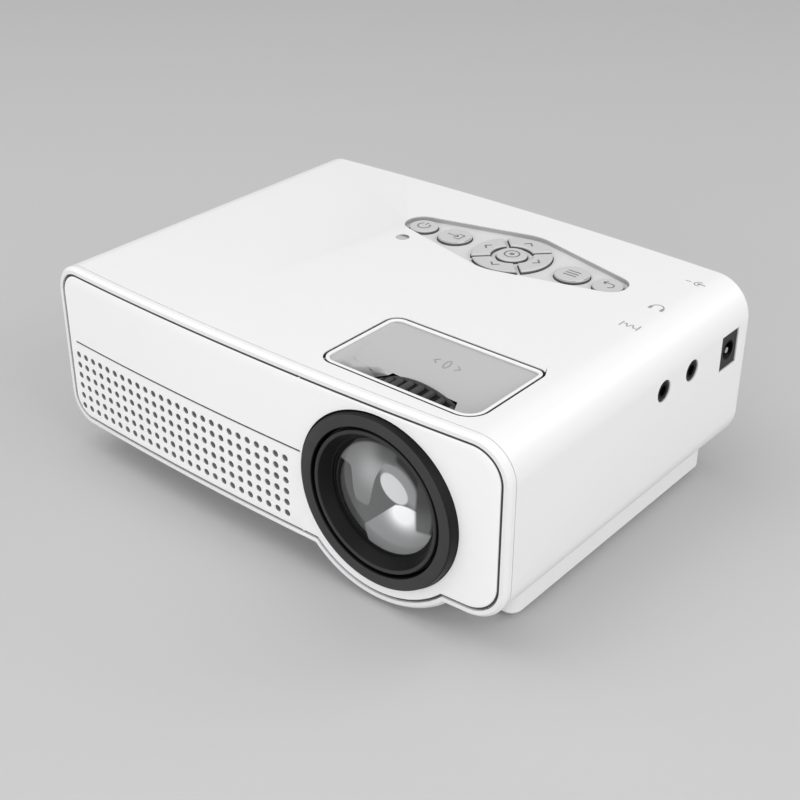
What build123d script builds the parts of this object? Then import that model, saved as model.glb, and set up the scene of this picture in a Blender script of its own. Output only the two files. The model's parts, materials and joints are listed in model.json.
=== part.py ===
from build123d import *
import os
from math import cos, radians, sin, sqrt

os.makedirs("parts", exist_ok=True)

# Mini projector, in millimetres. Z is up, the lens looks towards -Y and X runs across the front.
# The origin is under the middle of the projector, on the surface that its feet stand on.

# Case
BODY_W = 190.0  # across the two flat sides
BODY_D = 141.3  # middle of the bowed front to middle of the bowed rear
SLEEVE_H = 60.6  # the rounded sleeve, bottom to top
PLINTH_H = 9.8  # the lower cover below the sleeve
FOOT_H = 1.6  # the feet below the lower cover
FRONT_BOW = 3.55  # how far the front's ends lie behind its middle
REAR_BOW = 3.6  # how far the rear's ends lie before its middle
LEFT_R = 10.5  # corners of the sleeve, away from the lens
RIGHT_R = 13.0  # corners of the sleeve, beside the lens
WALL = 2.4
SEAM = 0.2  # between two mouldings that meet
SLIP = 0.3  # round a piece that moves in a moulded hole
PRESS = 0.02  # round a piece that is pressed in and stays
RUN = 0.06  # radial, round a piece that turns or slides on a bearing

# Front
RIM_W = 2.3  # face of the front frame, round the groove
RIM_T = 2.6
RIM_BEVEL = 1.0
GROOVE = 0.6  # round the front panel
PANEL_T = 1.8
FRAME_IN = 3.9  # from the case's outline to the opening of the front frame
FRAME_D = 7.0
CHIN_WALL = 2.2
GRILLE_SIDE = 5.15  # from the case's left side to the field of holes
GRILLE_LENS = 3.8  # least width between the field of holes and the boss round the lens seat
GRILLE_DROP = 43.7  # middle of the grille below the top
GRILLE_PITCH = 4.05
GRILLE_ROWS = 6
GRILLE_HOLE = 2.2
LINE_DROP = 28.6  # the line above the grille
LINE_SIDE = 6.4  # from the case's left side
LINE_W = 0.7
LINE_DEPTH = 0.5
BACKING_T = 1.2
BACKING_LAP = 0.15  # of the backing frame past the field of holes
BACKING_H = 28.0
BACKING_R = 6.0
BACKING_RISE = 1.5  # of its middle above the middle of the grille
WINDOW_COLS = 16  # columns and rows of holes that the backing frame leaves open
WINDOW_ROWS = 5
WINDOW_FIRST_COL = 3
FILTER_T = 1.0
FILTER_LAP = 4.0

# Lens
LENS_SIDE = 45.5  # the lens axis from the case's right side
LENS_DROP = 34.4  # the lens axis below the top
TRIM_PROUD = 0.8  # face of the trim ring before the front's middle
TRIM_R = 28.7
TRIM_BASE_R = 29.3
TRIM_BORE_R = 24.4
LENS_SEAT = 2.6  # depth of the flat seat under the trim ring
LENS_BOSS_WALL = 0.9
LENS_BOSS_T = 1.3
SPIGOT_R = 26.0
SPIGOT_END = 6.4
BARREL_R = 24.0
BARREL_FRONT = -0.5  # depths behind the front's middle from here on
BARREL_END = 40.0
BARREL_MOUTH_R = 22.0
MOUTH_END = 5.2  # where the mouth's cone ends in a lip that the front lens seats on
LIP_R = 18.6
BARREL_BORE_R = 19.6
REAR_SEAT = 34.0
REAR_BORE_R = 21.1
EDGE_T = 3.0  # thickness of each lens along its rim
GLASS_R = 19.5
GLASS_DOME_R = 18.4
GLASS_RISE = 2.6
REAR_GLASS_R = 21.0
REAR_DOME_R = 18.0
MOUNT_FRONT = 7.2
MOUNT_END = 47.8
MOUNT_NECK_R = 25.6  # where the focus ring turns on it
MOUNT_R = 26.8
FLANGE_W = 57.0
FLANGE_H = 38.0
FLANGE_T = 3.0
FLANGE_HOLE_X = 50.0
FLANGE_HOLE_Z = 31.0
HOOK_W = 5.0
HOOKS = 4
HOOK_R = 27.3
FOCUS_FRONT = 9.0
FOCUS_T = 12.0
FOCUS_CLEAR = 1.9  # between the focus ring and the chin
FOCUS_RIBS = 52
FOCUS_RIB_DEPTH = 0.9
FOCUS_TURN = 60.0  # degrees, each way
FOCUS_TRAVEL = 3.0  # of the barrel, each way
FOCUS_PLAY = 0.3  # along the axis, before and behind the focus ring
PIN_R = 1.0
PIN_FOOT_R = 22.6  # distances of the pin's ends from the lens axis
PIN_TIP_R = 27.3
PIN_CLEAR = 0.2
GROOVE_MARGIN = 6.0  # degrees that the helical groove runs on past each end of the travel

# Focus tray
TRAY_SHIFT = -0.7  # its middle beside the lens axis
TRAY_DEPTH = 27.2  # its middle behind the front
TRAY_W = 58.2
TRAY_D = 36.4
TRAY_R = 3.5
TRAY_FRONT_R = 7.0
TRAY_GAP = 0.35
TRAY_LIP = 2.4
TRAY_LIP_T = 1.9
TRAY_SIDE = 1.8
TRAY_LOW = 10.0
TRAY_SKIRT = 1.4
TRAY_FLOOR_T = 1.2
SCOOP_REAR = 0.8  # depth of the sloping floor along its rear edge
SCOOP_LEFT = 4.4  # at its front edge, on the left
SCOOP_RIGHT = 7.8  # at its front edge, on the right
SCOOP_RUN = 3.0  # width of the slanting left wall
SCOOP_RISE = 1.0  # of the slanting left wall, at its front edge
TRAY_RING_CLEAR = 0.8
TRAY_SLOT_CLEAR = 0.5

# Keypad
KEY_SIDE = 75.5  # its middle from the case's right side
KEY_BACK = 33.3  # its middle before the rear
KEY_R = 16.8
KEY_TIP_R = 6.9
KEY_END = 38.7
KEY_MID = 24.7
KEY_RECESS = 2.0
KEY_PLATE = 1.8
KEY_PROUD = 1.3
KEY_PLAY = 0.3
KEY_BAR_LAP = 0.9  # of the bar under a key that keeps it in its hole
KEY_BAR_W = 4.0
KEY_BAR_T = 0.9
KEY_STEM_W = 2.0
KEY_STEM_L = 2.0
KEY_TRAVEL = 0.6
KEY_REST = 0.3
KEY_EDGE_R = 0.35
END_KEY_R = 5.2
MID_KEY_R = 6.1
OK_KEY_R = 5.4
ARROW_OUT_R = 14.0
ARROW_IN_R = 7.4
ARROW_GAP = 1.6
SWITCH_W = 4.5
SWITCH_H = 1.5
PLUNGER_W = 2.0
PLUNGER_H = 0.5
BOARD_T = 1.6
KEY_BOARD_W = 90.0
KEY_BOARD_D = 28.0
KEY_BOARD_SHIFT = -1.6  # its middle beside the keypad's
KEY_SCREW_R = 0.9
KEY_SCREW_HEAD_R = 1.9
KEY_SCREW_HEAD_H = 1.2
KEY_SCREW_L = 6.0
KEY_POST_X = 16.5
KEY_POST_Y = 8.6
KEY_POST_R = 2.0
LAMP_LEFT = 36.9  # from the middle of the keypad
LAMP_AHEAD = 14.2
LAMP_R = 2.3
LAMP_CLEAR = 0.1
LAMP_PIPE_W = 2.4
LAMP_FLANGE_W = 6.0
LAMP_FLANGE_T = 1.0

# Sockets on the right
DC_BACK = 15.1  # before the rear
DC_W = 11.0
DC_H = 12.8
DC_DROP = 19.6
DC_BORE_R = 3.2
DC_BORE_DROP = 0.4  # of the hole below the middle of the socket's face
DC_PIN_R = 1.0
DC_PIN_L = 9.0
DC_BORE_L = 9.5
JACK_DROP = 17.0
PHONES_AHEAD = 24.7  # before the power socket
AV_AHEAD = 17.2  # before the headphone jack
JACK_NOSE_R = 3.6
JACK_NOSE_CLEAR = 0.15
JACK_BORE_R = 1.8
JACK_BORE_L = 12.0
JACK_W = 7.0
SOCKET_DEEP = 13.0
SOCKET_SUNK = 0.4
SOCKET_CLEAR = 0.15
JACK_BOARD_W = 12.0
JACK_BOARD_SIDE = 2.7  # its edge from the case's right side
JACK_BOARD_PAST_AV = 5.3  # how far it runs on past the middle of each end socket
JACK_BOARD_PAST_DC = 6.8
JACK_POST_SIDE = 9.5
JACK_POST_IN = 9.2  # from the middle of each end socket
JACK_POST_R = 2.4
JACK_NOTCH_CLEAR = 0.5

# Sockets on the left
PORT_SUNK = 0.5
PORT_CLEAR = 0.3
PORT_WALL = 0.5
PORT_LONG = 14.0
HDMI_W = 15.2
HDMI_H = 5.8
USB_W = 14.2
USB_H = 7.0
VGA_W = 30.8
VGA_H = 12.4
VGA_BACK = 31.8  # its middle before the rear
VGA_SHELL_W = 16.6
VGA_SHELL_H = 8.4
VGA_SHELL_L = 5.0
VGA_SLANT = 80.0  # degrees, of the shell's two ends
VGA_NUT_X = 12.5
VGA_NUT_R = 2.8
CARD_W = 26.0
CARD_H = 3.4
CARD_SLOT_W = 24.4
CARD_SLOT_H = 2.2
CARD_SLOT_L = 11.0
USB_VGA_GAP = 1.6  # between neighbouring sockets
HDMI_USB_GAP = 1.7
CARD_HDMI_GAP = 1.4
HDMI_BEVEL = 1.8
PORT_CAVITY = 11.0
HDMI_TONGUE_W = 11.4
HDMI_TONGUE_H = 1.0
USB_TONGUE_W = 11.2
USB_TONGUE_H = 1.9
USB_TONGUE_RISE = 1.1
TONGUE_L = 9.0

# Lower cover
PLINTH_SIDE = 7.5  # of each side within the case's
PLINTH_FRONT = 19.5
PLINTH_BACK = 9.8  # before the rear
PLINTH_R = 4.0
PLINTH_BEVEL = 1.6
PLINTH_WALL = 2.4
PLINTH_UP = 3.4  # how far its walls reach into the sleeve
BOSS_SIDE = 13.0  # from the case's right side
BOSS_LEFT_SIDE = 18.0
BOSS_REAR_SIDE = 25.0
BOSS_R = 3.2
BOSS_Z = 20.0
BOSS_RIGHT_FRONT = 27.0
BOSS_PAST_JACK = 9.5  # of the right rear boss behind the headphone jack
BOSS_IN = 4.5  # of the left front boss behind the lower cover's front
BOSS_BACK = 14.3  # of the left rear boss before the rear
POST_SIDES = 6  # of the posts, screws and screw holes inside
SCREW_R = 1.25
SCREW_HEAD_R = 2.3
SCREW_HEAD_H = 1.6
SCREW_L = 24.0
SCREW_CLEAR = 0.05
SCREW_SUNK = 3.0
FOOT_R = 6.0
FOOT_SIDE = 13.5  # from the lower cover's side
FOOT_FRONT = 33.0
FOOT_BACK = 14.5  # before the lower cover's rear
FOOT_SUNK = 0.5
VENT_W = 30.0
VENT_SLOT = 2.4
VENT_PITCH = 5.0
VENTS = 7
TRIPOD_DEPTH = 70.0
TRIPOD_R = 2.55
TRIPOD_OUT_R = 4.5
TRIPOD_L = 9.0
TRIPOD_BOSS_R = 7.0

# Boards and the light engine
MAIN_SIDE = 4.5  # its edge from the case's left side
MAIN_ENGINE_GAP = 5.0  # to the ears of the light engine
MAIN_BACK = 20.3  # its edge before the rear
MAIN_FRONT = 33.0
MAIN_Z = 22.0
MAIN_POST_IN_X = 13.0  # from the board's edges
MAIN_POST_IN_Y = 10.0
MAIN_POST_R = 3.0
ENGINE_W = 60.0
ENGINE_H = 40.0
ENGINE_FRONT = 48.0
ENGINE_WALL = 2.0
ENGINE_WINDOW_W = 34.0
ENGINE_WINDOW_H = 33.0
EAR_X = 33.5
EAR_IN = 8.0  # from each end of the light engine
EAR_W = 7.0
EAR_T = 2.4
RAIL_W = 1.5
RAIL_T = 1.0
SCREW_SHORT = 6.0
SCREW_MID = 8.0
PLATE_CLEAR = 0.1
FRESNEL_T = 2.0
FRESNEL_FRONT_DEPTH = 57.0
LCD_T = 3.0
LCD_DEPTH = 62.0
LCD_FRAME = 5.0
LCD_SUNK = 0.6
FRESNEL_REAR_DEPTH = 68.0
CONDENSER_SHIFT = -1.0  # beside the middle between the rear fresnel lens and the light source
CONDENSER_T = 3.0
CONDENSER_R = 17.5
CONDENSER_DOME_R = 16.0
BULKHEAD_T = 1.5
CONDENSER_BULGE = 6.0
LED_W = 36.0
LED_T = 1.6
LED_CHIP = 9.0
LED_CHIP_T = 1.4
SINK_W = 44.0
SINK_H = 38.0
SINK_BASE_T = 4.0
SINK_L = 16.9
SINK_FAN_GAP = 2.3
SINK_FINS = 9
SINK_FIN_T = 1.6
FAN_W = 40.0
FAN_BACK = 20.5  # its front face before the rear
FAN_T = 15.0
FAN_BORE_R = 18.9
FAN_HOLE = 16.0
FAN_POST_R = 3.0
FAN_HUB_R = 9.5
FAN_HUB_FRONT = 0.6
FAN_HUB_FACE_T = 4.0
FAN_STRUT_T = 2.0
FAN_STRUT_W = 3.0
FAN_GAP = 0.6
FAN_TIP_CLEAR = 0.9
FAN_TIP_CUT = 0.3
FAN_BLADES = 7
FAN_BLADE_T = 1.0
FAN_BLADE_PITCH = 38.0
FAN_BLADE_CHORD = 9.0
FAN_BLADE_FOOT_R = 8.6
FAN_BLADE_MID = 6.5
FAN_SHAFT_R = 1.5
FAN_SCREW_L = 17.0
EXHAUST_W = 40.0
EXHAUST_SLOT = 2.6
EXHAUST_PITCH = 5.0
EXHAUST_SLOTS = 9
REAR_SUNK = 0.3
REAR_T = 2.4
REAR_SCREW_SIDE = 5.9  # from the case's side
REAR_SCREW_SEAT = 5.1  # of the head before the rear's middle
REAR_SCREW_L = 7.0
HEAD_CLEAR = 0.25
LUG_Z = 40.0
LUG_H = 7.0
LUG_W = 8.5
LUG_D = 8.0
SPEAKER_SHIFT = 1.5  # beside the middle of the main board
SPEAKER_W = 50.0
SPEAKER_D = 30.0
SPEAKER_H = 13.0
SPEAKER_FRAME_T = 1.5
SPEAKER_MAGNET_R = 10.0

# Places that follow from the sizes above
HALF_W = BODY_W / 2
BOW_END_X = HALF_W + WALL
LENS_X = HALF_W - LENS_SIDE
TRAY_X = LENS_X + TRAY_SHIFT
KEY_X = HALF_W - KEY_SIDE
KEY_DEPTH = BODY_D - KEY_BACK
KEY_BOARD_DEPTH = KEY_DEPTH + KEY_BOARD_SHIFT
LAMP_X = KEY_X - LAMP_LEFT
LAMP_DEPTH = KEY_DEPTH - LAMP_AHEAD
DC_DEPTH = BODY_D - DC_BACK
PHONES_DEPTH = DC_DEPTH - PHONES_AHEAD
AV_DEPTH = PHONES_DEPTH - AV_AHEAD
JACK_BOARD_X = HALF_W - JACK_BOARD_SIDE - JACK_BOARD_W / 2
JACK_BOARD_FRONT = AV_DEPTH - JACK_BOARD_PAST_AV
JACK_BOARD_REAR = DC_DEPTH + JACK_BOARD_PAST_DC
JACK_POST_X = HALF_W - JACK_POST_SIDE
VGA_DEPTH = BODY_D - VGA_BACK
USB_DEPTH = VGA_DEPTH - VGA_W / 2 - USB_VGA_GAP - USB_W / 2
HDMI_DEPTH = USB_DEPTH - USB_W / 2 - HDMI_USB_GAP - HDMI_W / 2
CARD_DEPTH = HDMI_DEPTH - HDMI_W / 2 - CARD_HDMI_GAP - CARD_W / 2
PLINTH_W = BODY_W - 2 * PLINTH_SIDE
PLINTH_REAR = BODY_D - PLINTH_BACK
BOSS_X = HALF_W - BOSS_SIDE
BOSS_REAR_X = BOSS_REAR_SIDE - HALF_W
FOOT_X = PLINTH_W / 2 - FOOT_SIDE
FOOT_REAR = PLINTH_REAR - FOOT_BACK
FAN_FRONT = BODY_D - FAN_BACK
SINK_END = FAN_FRONT - SINK_FAN_GAP
SINK_FRONT = SINK_END - SINK_L
ENGINE_END = SINK_FRONT - LED_T
ENGINE_MID = (ENGINE_FRONT + ENGINE_END) / 2
CONDENSER_DEPTH = (FRESNEL_REAR_DEPTH + FRESNEL_T + ENGINE_END) / 2 + CONDENSER_SHIFT
MAIN_LEFT = MAIN_SIDE - HALF_W
MAIN_RIGHT = LENS_X - EAR_X - EAR_W / 2 - MAIN_ENGINE_GAP
MAIN_W = MAIN_RIGHT - MAIN_LEFT
MAIN_X = (MAIN_LEFT + MAIN_RIGHT) / 2
MAIN_REAR = BODY_D - MAIN_BACK
MAIN_D = MAIN_REAR - MAIN_FRONT
MAIN_POST_X = MAIN_W / 2 - MAIN_POST_IN_X
MAIN_POST_Y = MAIN_D / 2 - MAIN_POST_IN_Y
SPEAKER_X = MAIN_X + SPEAKER_SHIFT
SPEAKER_DEPTH = (MAIN_FRONT + MAIN_REAR) / 2
REAR_SCREW_X = HALF_W - REAR_SCREW_SIDE
PLINTH_Z = FOOT_H
SLEEVE_Z = PLINTH_Z + PLINTH_H
TOP_Z = SLEEVE_Z + SLEEVE_H
ROOF_Z = TOP_Z - WALL
FRONT_Y = -(BODY_D - TRIM_PROUD) / 2
REAR_Y = FRONT_Y + BODY_D
LENS_Z = TOP_Z - LENS_DROP
CHIN_R = LENS_Z - PLINTH_Z
CHIN_BORE_R = CHIN_R - CHIN_WALL
FOCUS_R = CHIN_BORE_R - FOCUS_CLEAR
FOCUS_END = FOCUS_FRONT + FOCUS_T
FOCUS_MID = FOCUS_FRONT + FOCUS_T / 2
FOCUS_LEAD = FOCUS_TRAVEL * 360 / FOCUS_TURN
PIN_ANGLE = 90 - FOCUS_TURN - GROOVE_MARGIN
PLINTH_FLOOR_Z = PLINTH_Z + PLINTH_WALL
PLINTH_WALL_Z = SLEEVE_Z + WALL + PLINTH_UP
KEY_Y = FRONT_Y + KEY_DEPTH
KEY_FLOOR_Z = TOP_Z - KEY_RECESS
KEY_UNDER_Z = KEY_FLOOR_Z - KEY_PLATE
KEY_BAR_Z = KEY_UNDER_Z - KEY_PLAY - KEY_BAR_T
KEY_STEM_Z = KEY_BAR_Z - KEY_STEM_L
KEY_BOARD_TOP = KEY_STEM_Z - KEY_TRAVEL - KEY_REST - PLUNGER_H - SWITCH_H
KEY_BOARD_Z = KEY_BOARD_TOP - BOARD_T
ARROW_MID_R = (ARROW_IN_R + ARROW_OUT_R) / 2
JACK_Z = TOP_Z - JACK_DROP
DC_Z = TOP_Z - DC_DROP
JACK_BOARD_Z = DC_Z + DC_H / 2
LENS_BOSS_R = TRIM_BASE_R + LENS_BOSS_WALL
GRILLE_LEFT = GRILLE_SIDE - HALF_W
GRILLE_COLS = int((LENS_X - LENS_BOSS_R - GRILLE_LENS - GRILLE_LEFT) / GRILLE_PITCH)
GRILLE_W = GRILLE_COLS * GRILLE_PITCH
GRILLE_X = GRILLE_LEFT + GRILLE_W / 2
BACKING_W = GRILLE_W + 2 * BACKING_LAP
LINE_X = LINE_SIDE - HALF_W
GRILLE_Z = TOP_Z - GRILLE_DROP
MAIN_TOP_Z = MAIN_Z + BOARD_T
ENGINE_Z = LENS_Z - ENGINE_H / 2
FAN_END = FAN_FRONT + FAN_T
TRAY_LOW_Z = TOP_Z - TRAY_LOW
SCOOP_FRONT = FOCUS_END + TRAY_SLOT_CLEAR

LENS_AXIS = Axis((LENS_X, FRONT_Y, LENS_Z), (0, 1, 0))
# Depth along the lens axis is this plane's first direction, and distance from the axis its second.
LENS_PLANE = Plane((LENS_X, FRONT_Y, LENS_Z), x_dir=(0, 1, 0), z_dir=(1, 0, 0))
RIGHT_SIDE = Plane((HALF_W, 0, 0), x_dir=(0, 1, 0), z_dir=(1, 0, 0))
LEFT_SIDE = Plane((-HALF_W, 0, 0), x_dir=(0, 1, 0), z_dir=(1, 0, 0))
SOCKET_PLANE = RIGHT_SIDE.offset(-SOCKET_SUNK)
PORT_PLANE = LEFT_SIDE.offset(PORT_SUNK)
LOW = (Align.CENTER, Align.CENTER, Align.MIN)
HIGH = (Align.CENTER, Align.CENTER, Align.MAX)
BOSSES = [
    (BOSS_X, FRONT_Y + BOSS_RIGHT_FRONT),
    (BOSS_X, FRONT_Y + PHONES_DEPTH + BOSS_PAST_JACK),
    (BOSS_LEFT_SIDE - HALF_W, FRONT_Y + PLINTH_FRONT + BOSS_IN),
    (BOSS_REAR_X, REAR_Y - BOSS_BACK),
]
FEET = [(x, FRONT_Y + depth) for x in (-FOOT_X, FOOT_X) for depth in (FOOT_FRONT, FOOT_REAR)]
KEY_POSTS = [
    (KEY_X + x, KEY_Y + y)
    for x in (-KEY_POST_X, KEY_POST_X)
    for y in (-KEY_POST_Y, KEY_POST_Y)
]
MAIN_Y = FRONT_Y + (MAIN_FRONT + MAIN_REAR) / 2
MAIN_POSTS = [
    (MAIN_X + x, MAIN_Y + y)
    for x in (-MAIN_POST_X, MAIN_POST_X)
    for y in (-MAIN_POST_Y, MAIN_POST_Y)
]
EAR_FRONT = ENGINE_FRONT + EAR_IN
EAR_REAR = ENGINE_END - EAR_IN
ENGINE_EARS = [(LENS_X + x, FRONT_Y + y) for x in (-EAR_X, EAR_X) for y in (EAR_FRONT, EAR_REAR)]
JACK_POSTS = [(JACK_POST_X, FRONT_Y + y) for y in (AV_DEPTH + JACK_POST_IN, DC_DEPTH - JACK_POST_IN)]


def save(builder, name):
    """Label a finished piece and write its STEP file."""
    builder.part.label = name
    export_step(builder.part, "parts/" + name + ".step")


def depth(distance):
    """Y of a plane that lies a distance behind the middle of the front."""
    return FRONT_Y + distance


def facing(y):
    """Upright plane across the projector, seen from the front: X to the right and Z up."""
    return Plane((0, y, 0), x_dir=(1, 0, 0), z_dir=(0, -1, 0))


def body_outline(y, inset):
    """The sleeve's rounded outline, drawn in by an inset."""
    with BuildSketch(facing(y)) as outline:
        with Locations((0, (TOP_Z + SLEEVE_Z) / 2)):
            Rectangle(BODY_W - 2 * inset, SLEEVE_H - 2 * inset)
        fillet(outline.vertices().group_by(Axis.X)[0], LEFT_R - inset)
        fillet(outline.vertices().group_by(Axis.X)[-1], RIGHT_R - inset)
    return outline.sketch


def chin_outline(y, radius, top_z):
    """The part of a circle about the lens axis that lies below a height."""
    with BuildSketch(facing(y)) as outline:
        with Locations((LENS_X, LENS_Z)):
            Circle(radius)
        with Locations((LENS_X, top_z)):
            Rectangle(2 * radius, 2 * radius, align=(Align.CENTER, Align.MAX), mode=Mode.INTERSECT)
    return outline.sketch


def front_outline(y, inset):
    """The sleeve's outline together with the chin that follows the lens, drawn in by an inset."""
    with BuildSketch(facing(y)) as outline:
        with Locations((0, (TOP_Z + SLEEVE_Z) / 2)):
            Rectangle(BODY_W - 2 * inset, SLEEVE_H - 2 * inset)
        fillet(outline.vertices().group_by(Axis.X)[0], LEFT_R - inset)
        fillet(outline.vertices().group_by(Axis.X)[-1], RIGHT_R - inset)
        add(chin_outline(y, CHIN_R - inset, LENS_Z))
    return outline.sketch


def lens_circle(y, radius):
    """Disc about the lens axis."""
    with BuildSketch(facing(y)) as disc:
        with Locations((LENS_X, LENS_Z)):
            Circle(radius)
    return disc.sketch


def sag(bow):
    """How far a bowed line has gone back where it ends, from the bow that it has at the case's sides."""
    ball = (HALF_W * HALF_W + bow * bow) / (2 * bow)
    return ball - sqrt(ball * ball - BOW_END_X * BOW_END_X)


def front_arc(distance):
    """Bowed line of the front, a distance behind its surface, run on past both sides."""
    end_y = depth(distance) + sag(FRONT_BOW)
    return ThreePointArc((-BOW_END_X, end_y), (0, depth(distance)), (BOW_END_X, end_y))


def rear_arc(distance):
    """Bowed line of the rear, a distance before its surface, run on past both sides."""
    end_y = REAR_Y - distance - sag(REAR_BOW)
    return ThreePointArc((-BOW_END_X, end_y), (0, REAR_Y - distance), (BOW_END_X, end_y))


def plan_between(near_arc, near, far_arc, far):
    """Plan of what lies between two bowed lines."""
    with BuildSketch(Plane.XY) as plan:
        with BuildLine():
            near_line = near_arc(near)
            far_line = far_arc(far)
            Line(near_line @ 0, far_line @ 0)
            Line(near_line @ 1, far_line @ 1)
        make_face()
    return plan.sketch


def front_layer(outline, near, far):
    """Bowed layer of an outline, from one depth behind the front surface to another."""
    with BuildPart() as layer:
        extrude(plan_between(front_arc, near, front_arc, far), amount=TOP_Z)
        extrude(outline, amount=2 * BODY_D, both=True, mode=Mode.INTERSECT)
    return layer.part


def flat_backed(outline, near, back):
    """An outline drawn at its flat back, brought forward to a bowed depth behind the front surface."""
    with BuildPart() as block:
        extrude(plan_between(front_arc, near, rear_arc, 0), amount=TOP_Z)
        extrude(outline, amount=back, mode=Mode.INTERSECT)
    return block.part


def lens_section(*corners):
    """Half section about the lens axis, from corners given as depth and distance from the axis."""
    with BuildSketch(LENS_PLANE) as section:
        with BuildLine():
            Polyline(*corners, close=True)
        make_face()
    return section.sketch


def glass_section(front, thick, radius, face_r, rise):
    """Half section of a lens with a flat rim, a flat back and a front that rises to its middle."""
    back = front + thick
    return lens_section(
        (front - rise, 0),
        (front - rise, face_r / 2),
        (front, face_r),
        (front, radius),
        (back, radius),
        (back, 0),
    )


def kite(z, grow):
    """The keypad's outline: a middle circle and two smaller end circles in one tight loop."""
    with BuildSketch(Plane.XY.offset(z)) as outline:
        with Locations((KEY_X, KEY_Y)):
            Circle(KEY_R + grow)
        with Locations((KEY_X - KEY_END, KEY_Y), (KEY_X + KEY_END, KEY_Y)):
            Circle(KEY_TIP_R + grow)
        make_hull()
    return outline.sketch


def round_key(x, radius):
    """Outline of a round key, as a function of its height and growth."""

    def outline(z, grow):
        with BuildSketch(Plane.XY.offset(z)) as disc:
            with Locations((KEY_X + x, KEY_Y)):
                Circle(radius + grow)
        return disc.sketch

    return outline


def arrow_key(angle):
    """Outline of a quarter of the ring of arrow keys, as a function of its height and growth."""

    def outline(z, grow):
        corner = (ARROW_GAP / 2 - grow) * sqrt(2)
        corner_x = KEY_X + corner * cos(radians(angle))
        corner_y = KEY_Y + corner * sin(radians(angle))
        side = 2 * ARROW_OUT_R
        with BuildSketch(Plane.XY.offset(z)) as quarter:
            with Locations((KEY_X, KEY_Y)):
                Circle(ARROW_OUT_R + grow)
                Circle(ARROW_IN_R - grow, mode=Mode.SUBTRACT)
            with Locations(Location((corner_x, corner_y), angle - 45)):
                Rectangle(side, side, align=(Align.MIN, Align.MIN), mode=Mode.INTERSECT)
        return quarter.sketch

    return outline


# Each key's name, its outline, where its stem stands from the middle of the keypad, and its width and turn
KEYS = [
    ("power_button", round_key(-KEY_END, END_KEY_R), -KEY_END, 0, 2 * END_KEY_R, 0),
    ("source_button", round_key(-KEY_MID, MID_KEY_R), -KEY_MID, 0, 2 * MID_KEY_R, 0),
    ("ok_button", round_key(0, OK_KEY_R), 0, 0, 2 * OK_KEY_R, 90),
    ("menu_button", round_key(KEY_MID, MID_KEY_R), KEY_MID, 0, 2 * MID_KEY_R, 0),
    ("back_button", round_key(KEY_END, END_KEY_R), KEY_END, 0, 2 * END_KEY_R, 0),
    ("right_button", arrow_key(0), ARROW_MID_R, 0, ARROW_OUT_R - ARROW_IN_R, 0),
    ("up_button", arrow_key(90), 0, ARROW_MID_R, ARROW_OUT_R - ARROW_IN_R, 90),
    ("left_button", arrow_key(180), -ARROW_MID_R, 0, ARROW_OUT_R - ARROW_IN_R, 0),
    ("down_button", arrow_key(270), 0, -ARROW_MID_R, ARROW_OUT_R - ARROW_IN_R, 90),
]


def tray_outline(z, inset):
    """The focus tray's rounded outline, drawn in by an inset."""
    with BuildSketch(Plane.XY.offset(z)) as outline:
        with Locations((TRAY_X, depth(TRAY_DEPTH))):
            Rectangle(TRAY_W - 2 * inset, TRAY_D - 2 * inset)
        front_corners = outline.vertices().group_by(Axis.Y)[0].sort_by(Axis.X)
        rear_corners = outline.vertices().group_by(Axis.Y)[-1]
        fillet(front_corners[1], TRAY_FRONT_R - inset)
        fillet([front_corners[0], *rear_corners], TRAY_R - inset)
    return outline.sketch


def scoop_section(y, left_x, left_z, right_z, low_z):
    """Upright section of the focus tray's floor at one depth, from its slanting left wall to the right."""
    left = TRAY_X - TRAY_W / 2 + TRAY_LIP
    right = TRAY_X + TRAY_W / 2 - TRAY_LIP
    with BuildSketch(facing(y)) as section:
        with BuildLine():
            Polyline(
                (left_x, left_z),
                (right, right_z),
                (right, TOP_Z),
                (left, TOP_Z),
                (left, low_z),
                close=True,
            )
        make_face()
    return section.sketch


def under_section(y, left_z, right_z):
    """Upright section of the hollow below the focus tray's floor at one depth."""
    left = TRAY_X - TRAY_W / 2 + TRAY_LIP
    right = TRAY_X + TRAY_W / 2 - TRAY_LIP
    with BuildSketch(facing(y)) as section:
        with BuildLine():
            Polyline((left, left_z), (right, right_z), (right, TRAY_LOW_Z), (left, TRAY_LOW_Z), close=True)
        make_face()
    return section.sketch


def screw(length, shaft_r, head_r, head_h):
    """A screw along its own +Z, with the seat of its head at zero."""
    with BuildPart() as body:
        with BuildSketch(Plane.XY):
            RegularPolygon(shaft_r, POST_SIDES)
        extrude(amount=length)
        with BuildSketch(Plane.XY):
            RegularPolygon(head_r, POST_SIDES)
        extrude(amount=-head_h)
    return body.part


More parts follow.
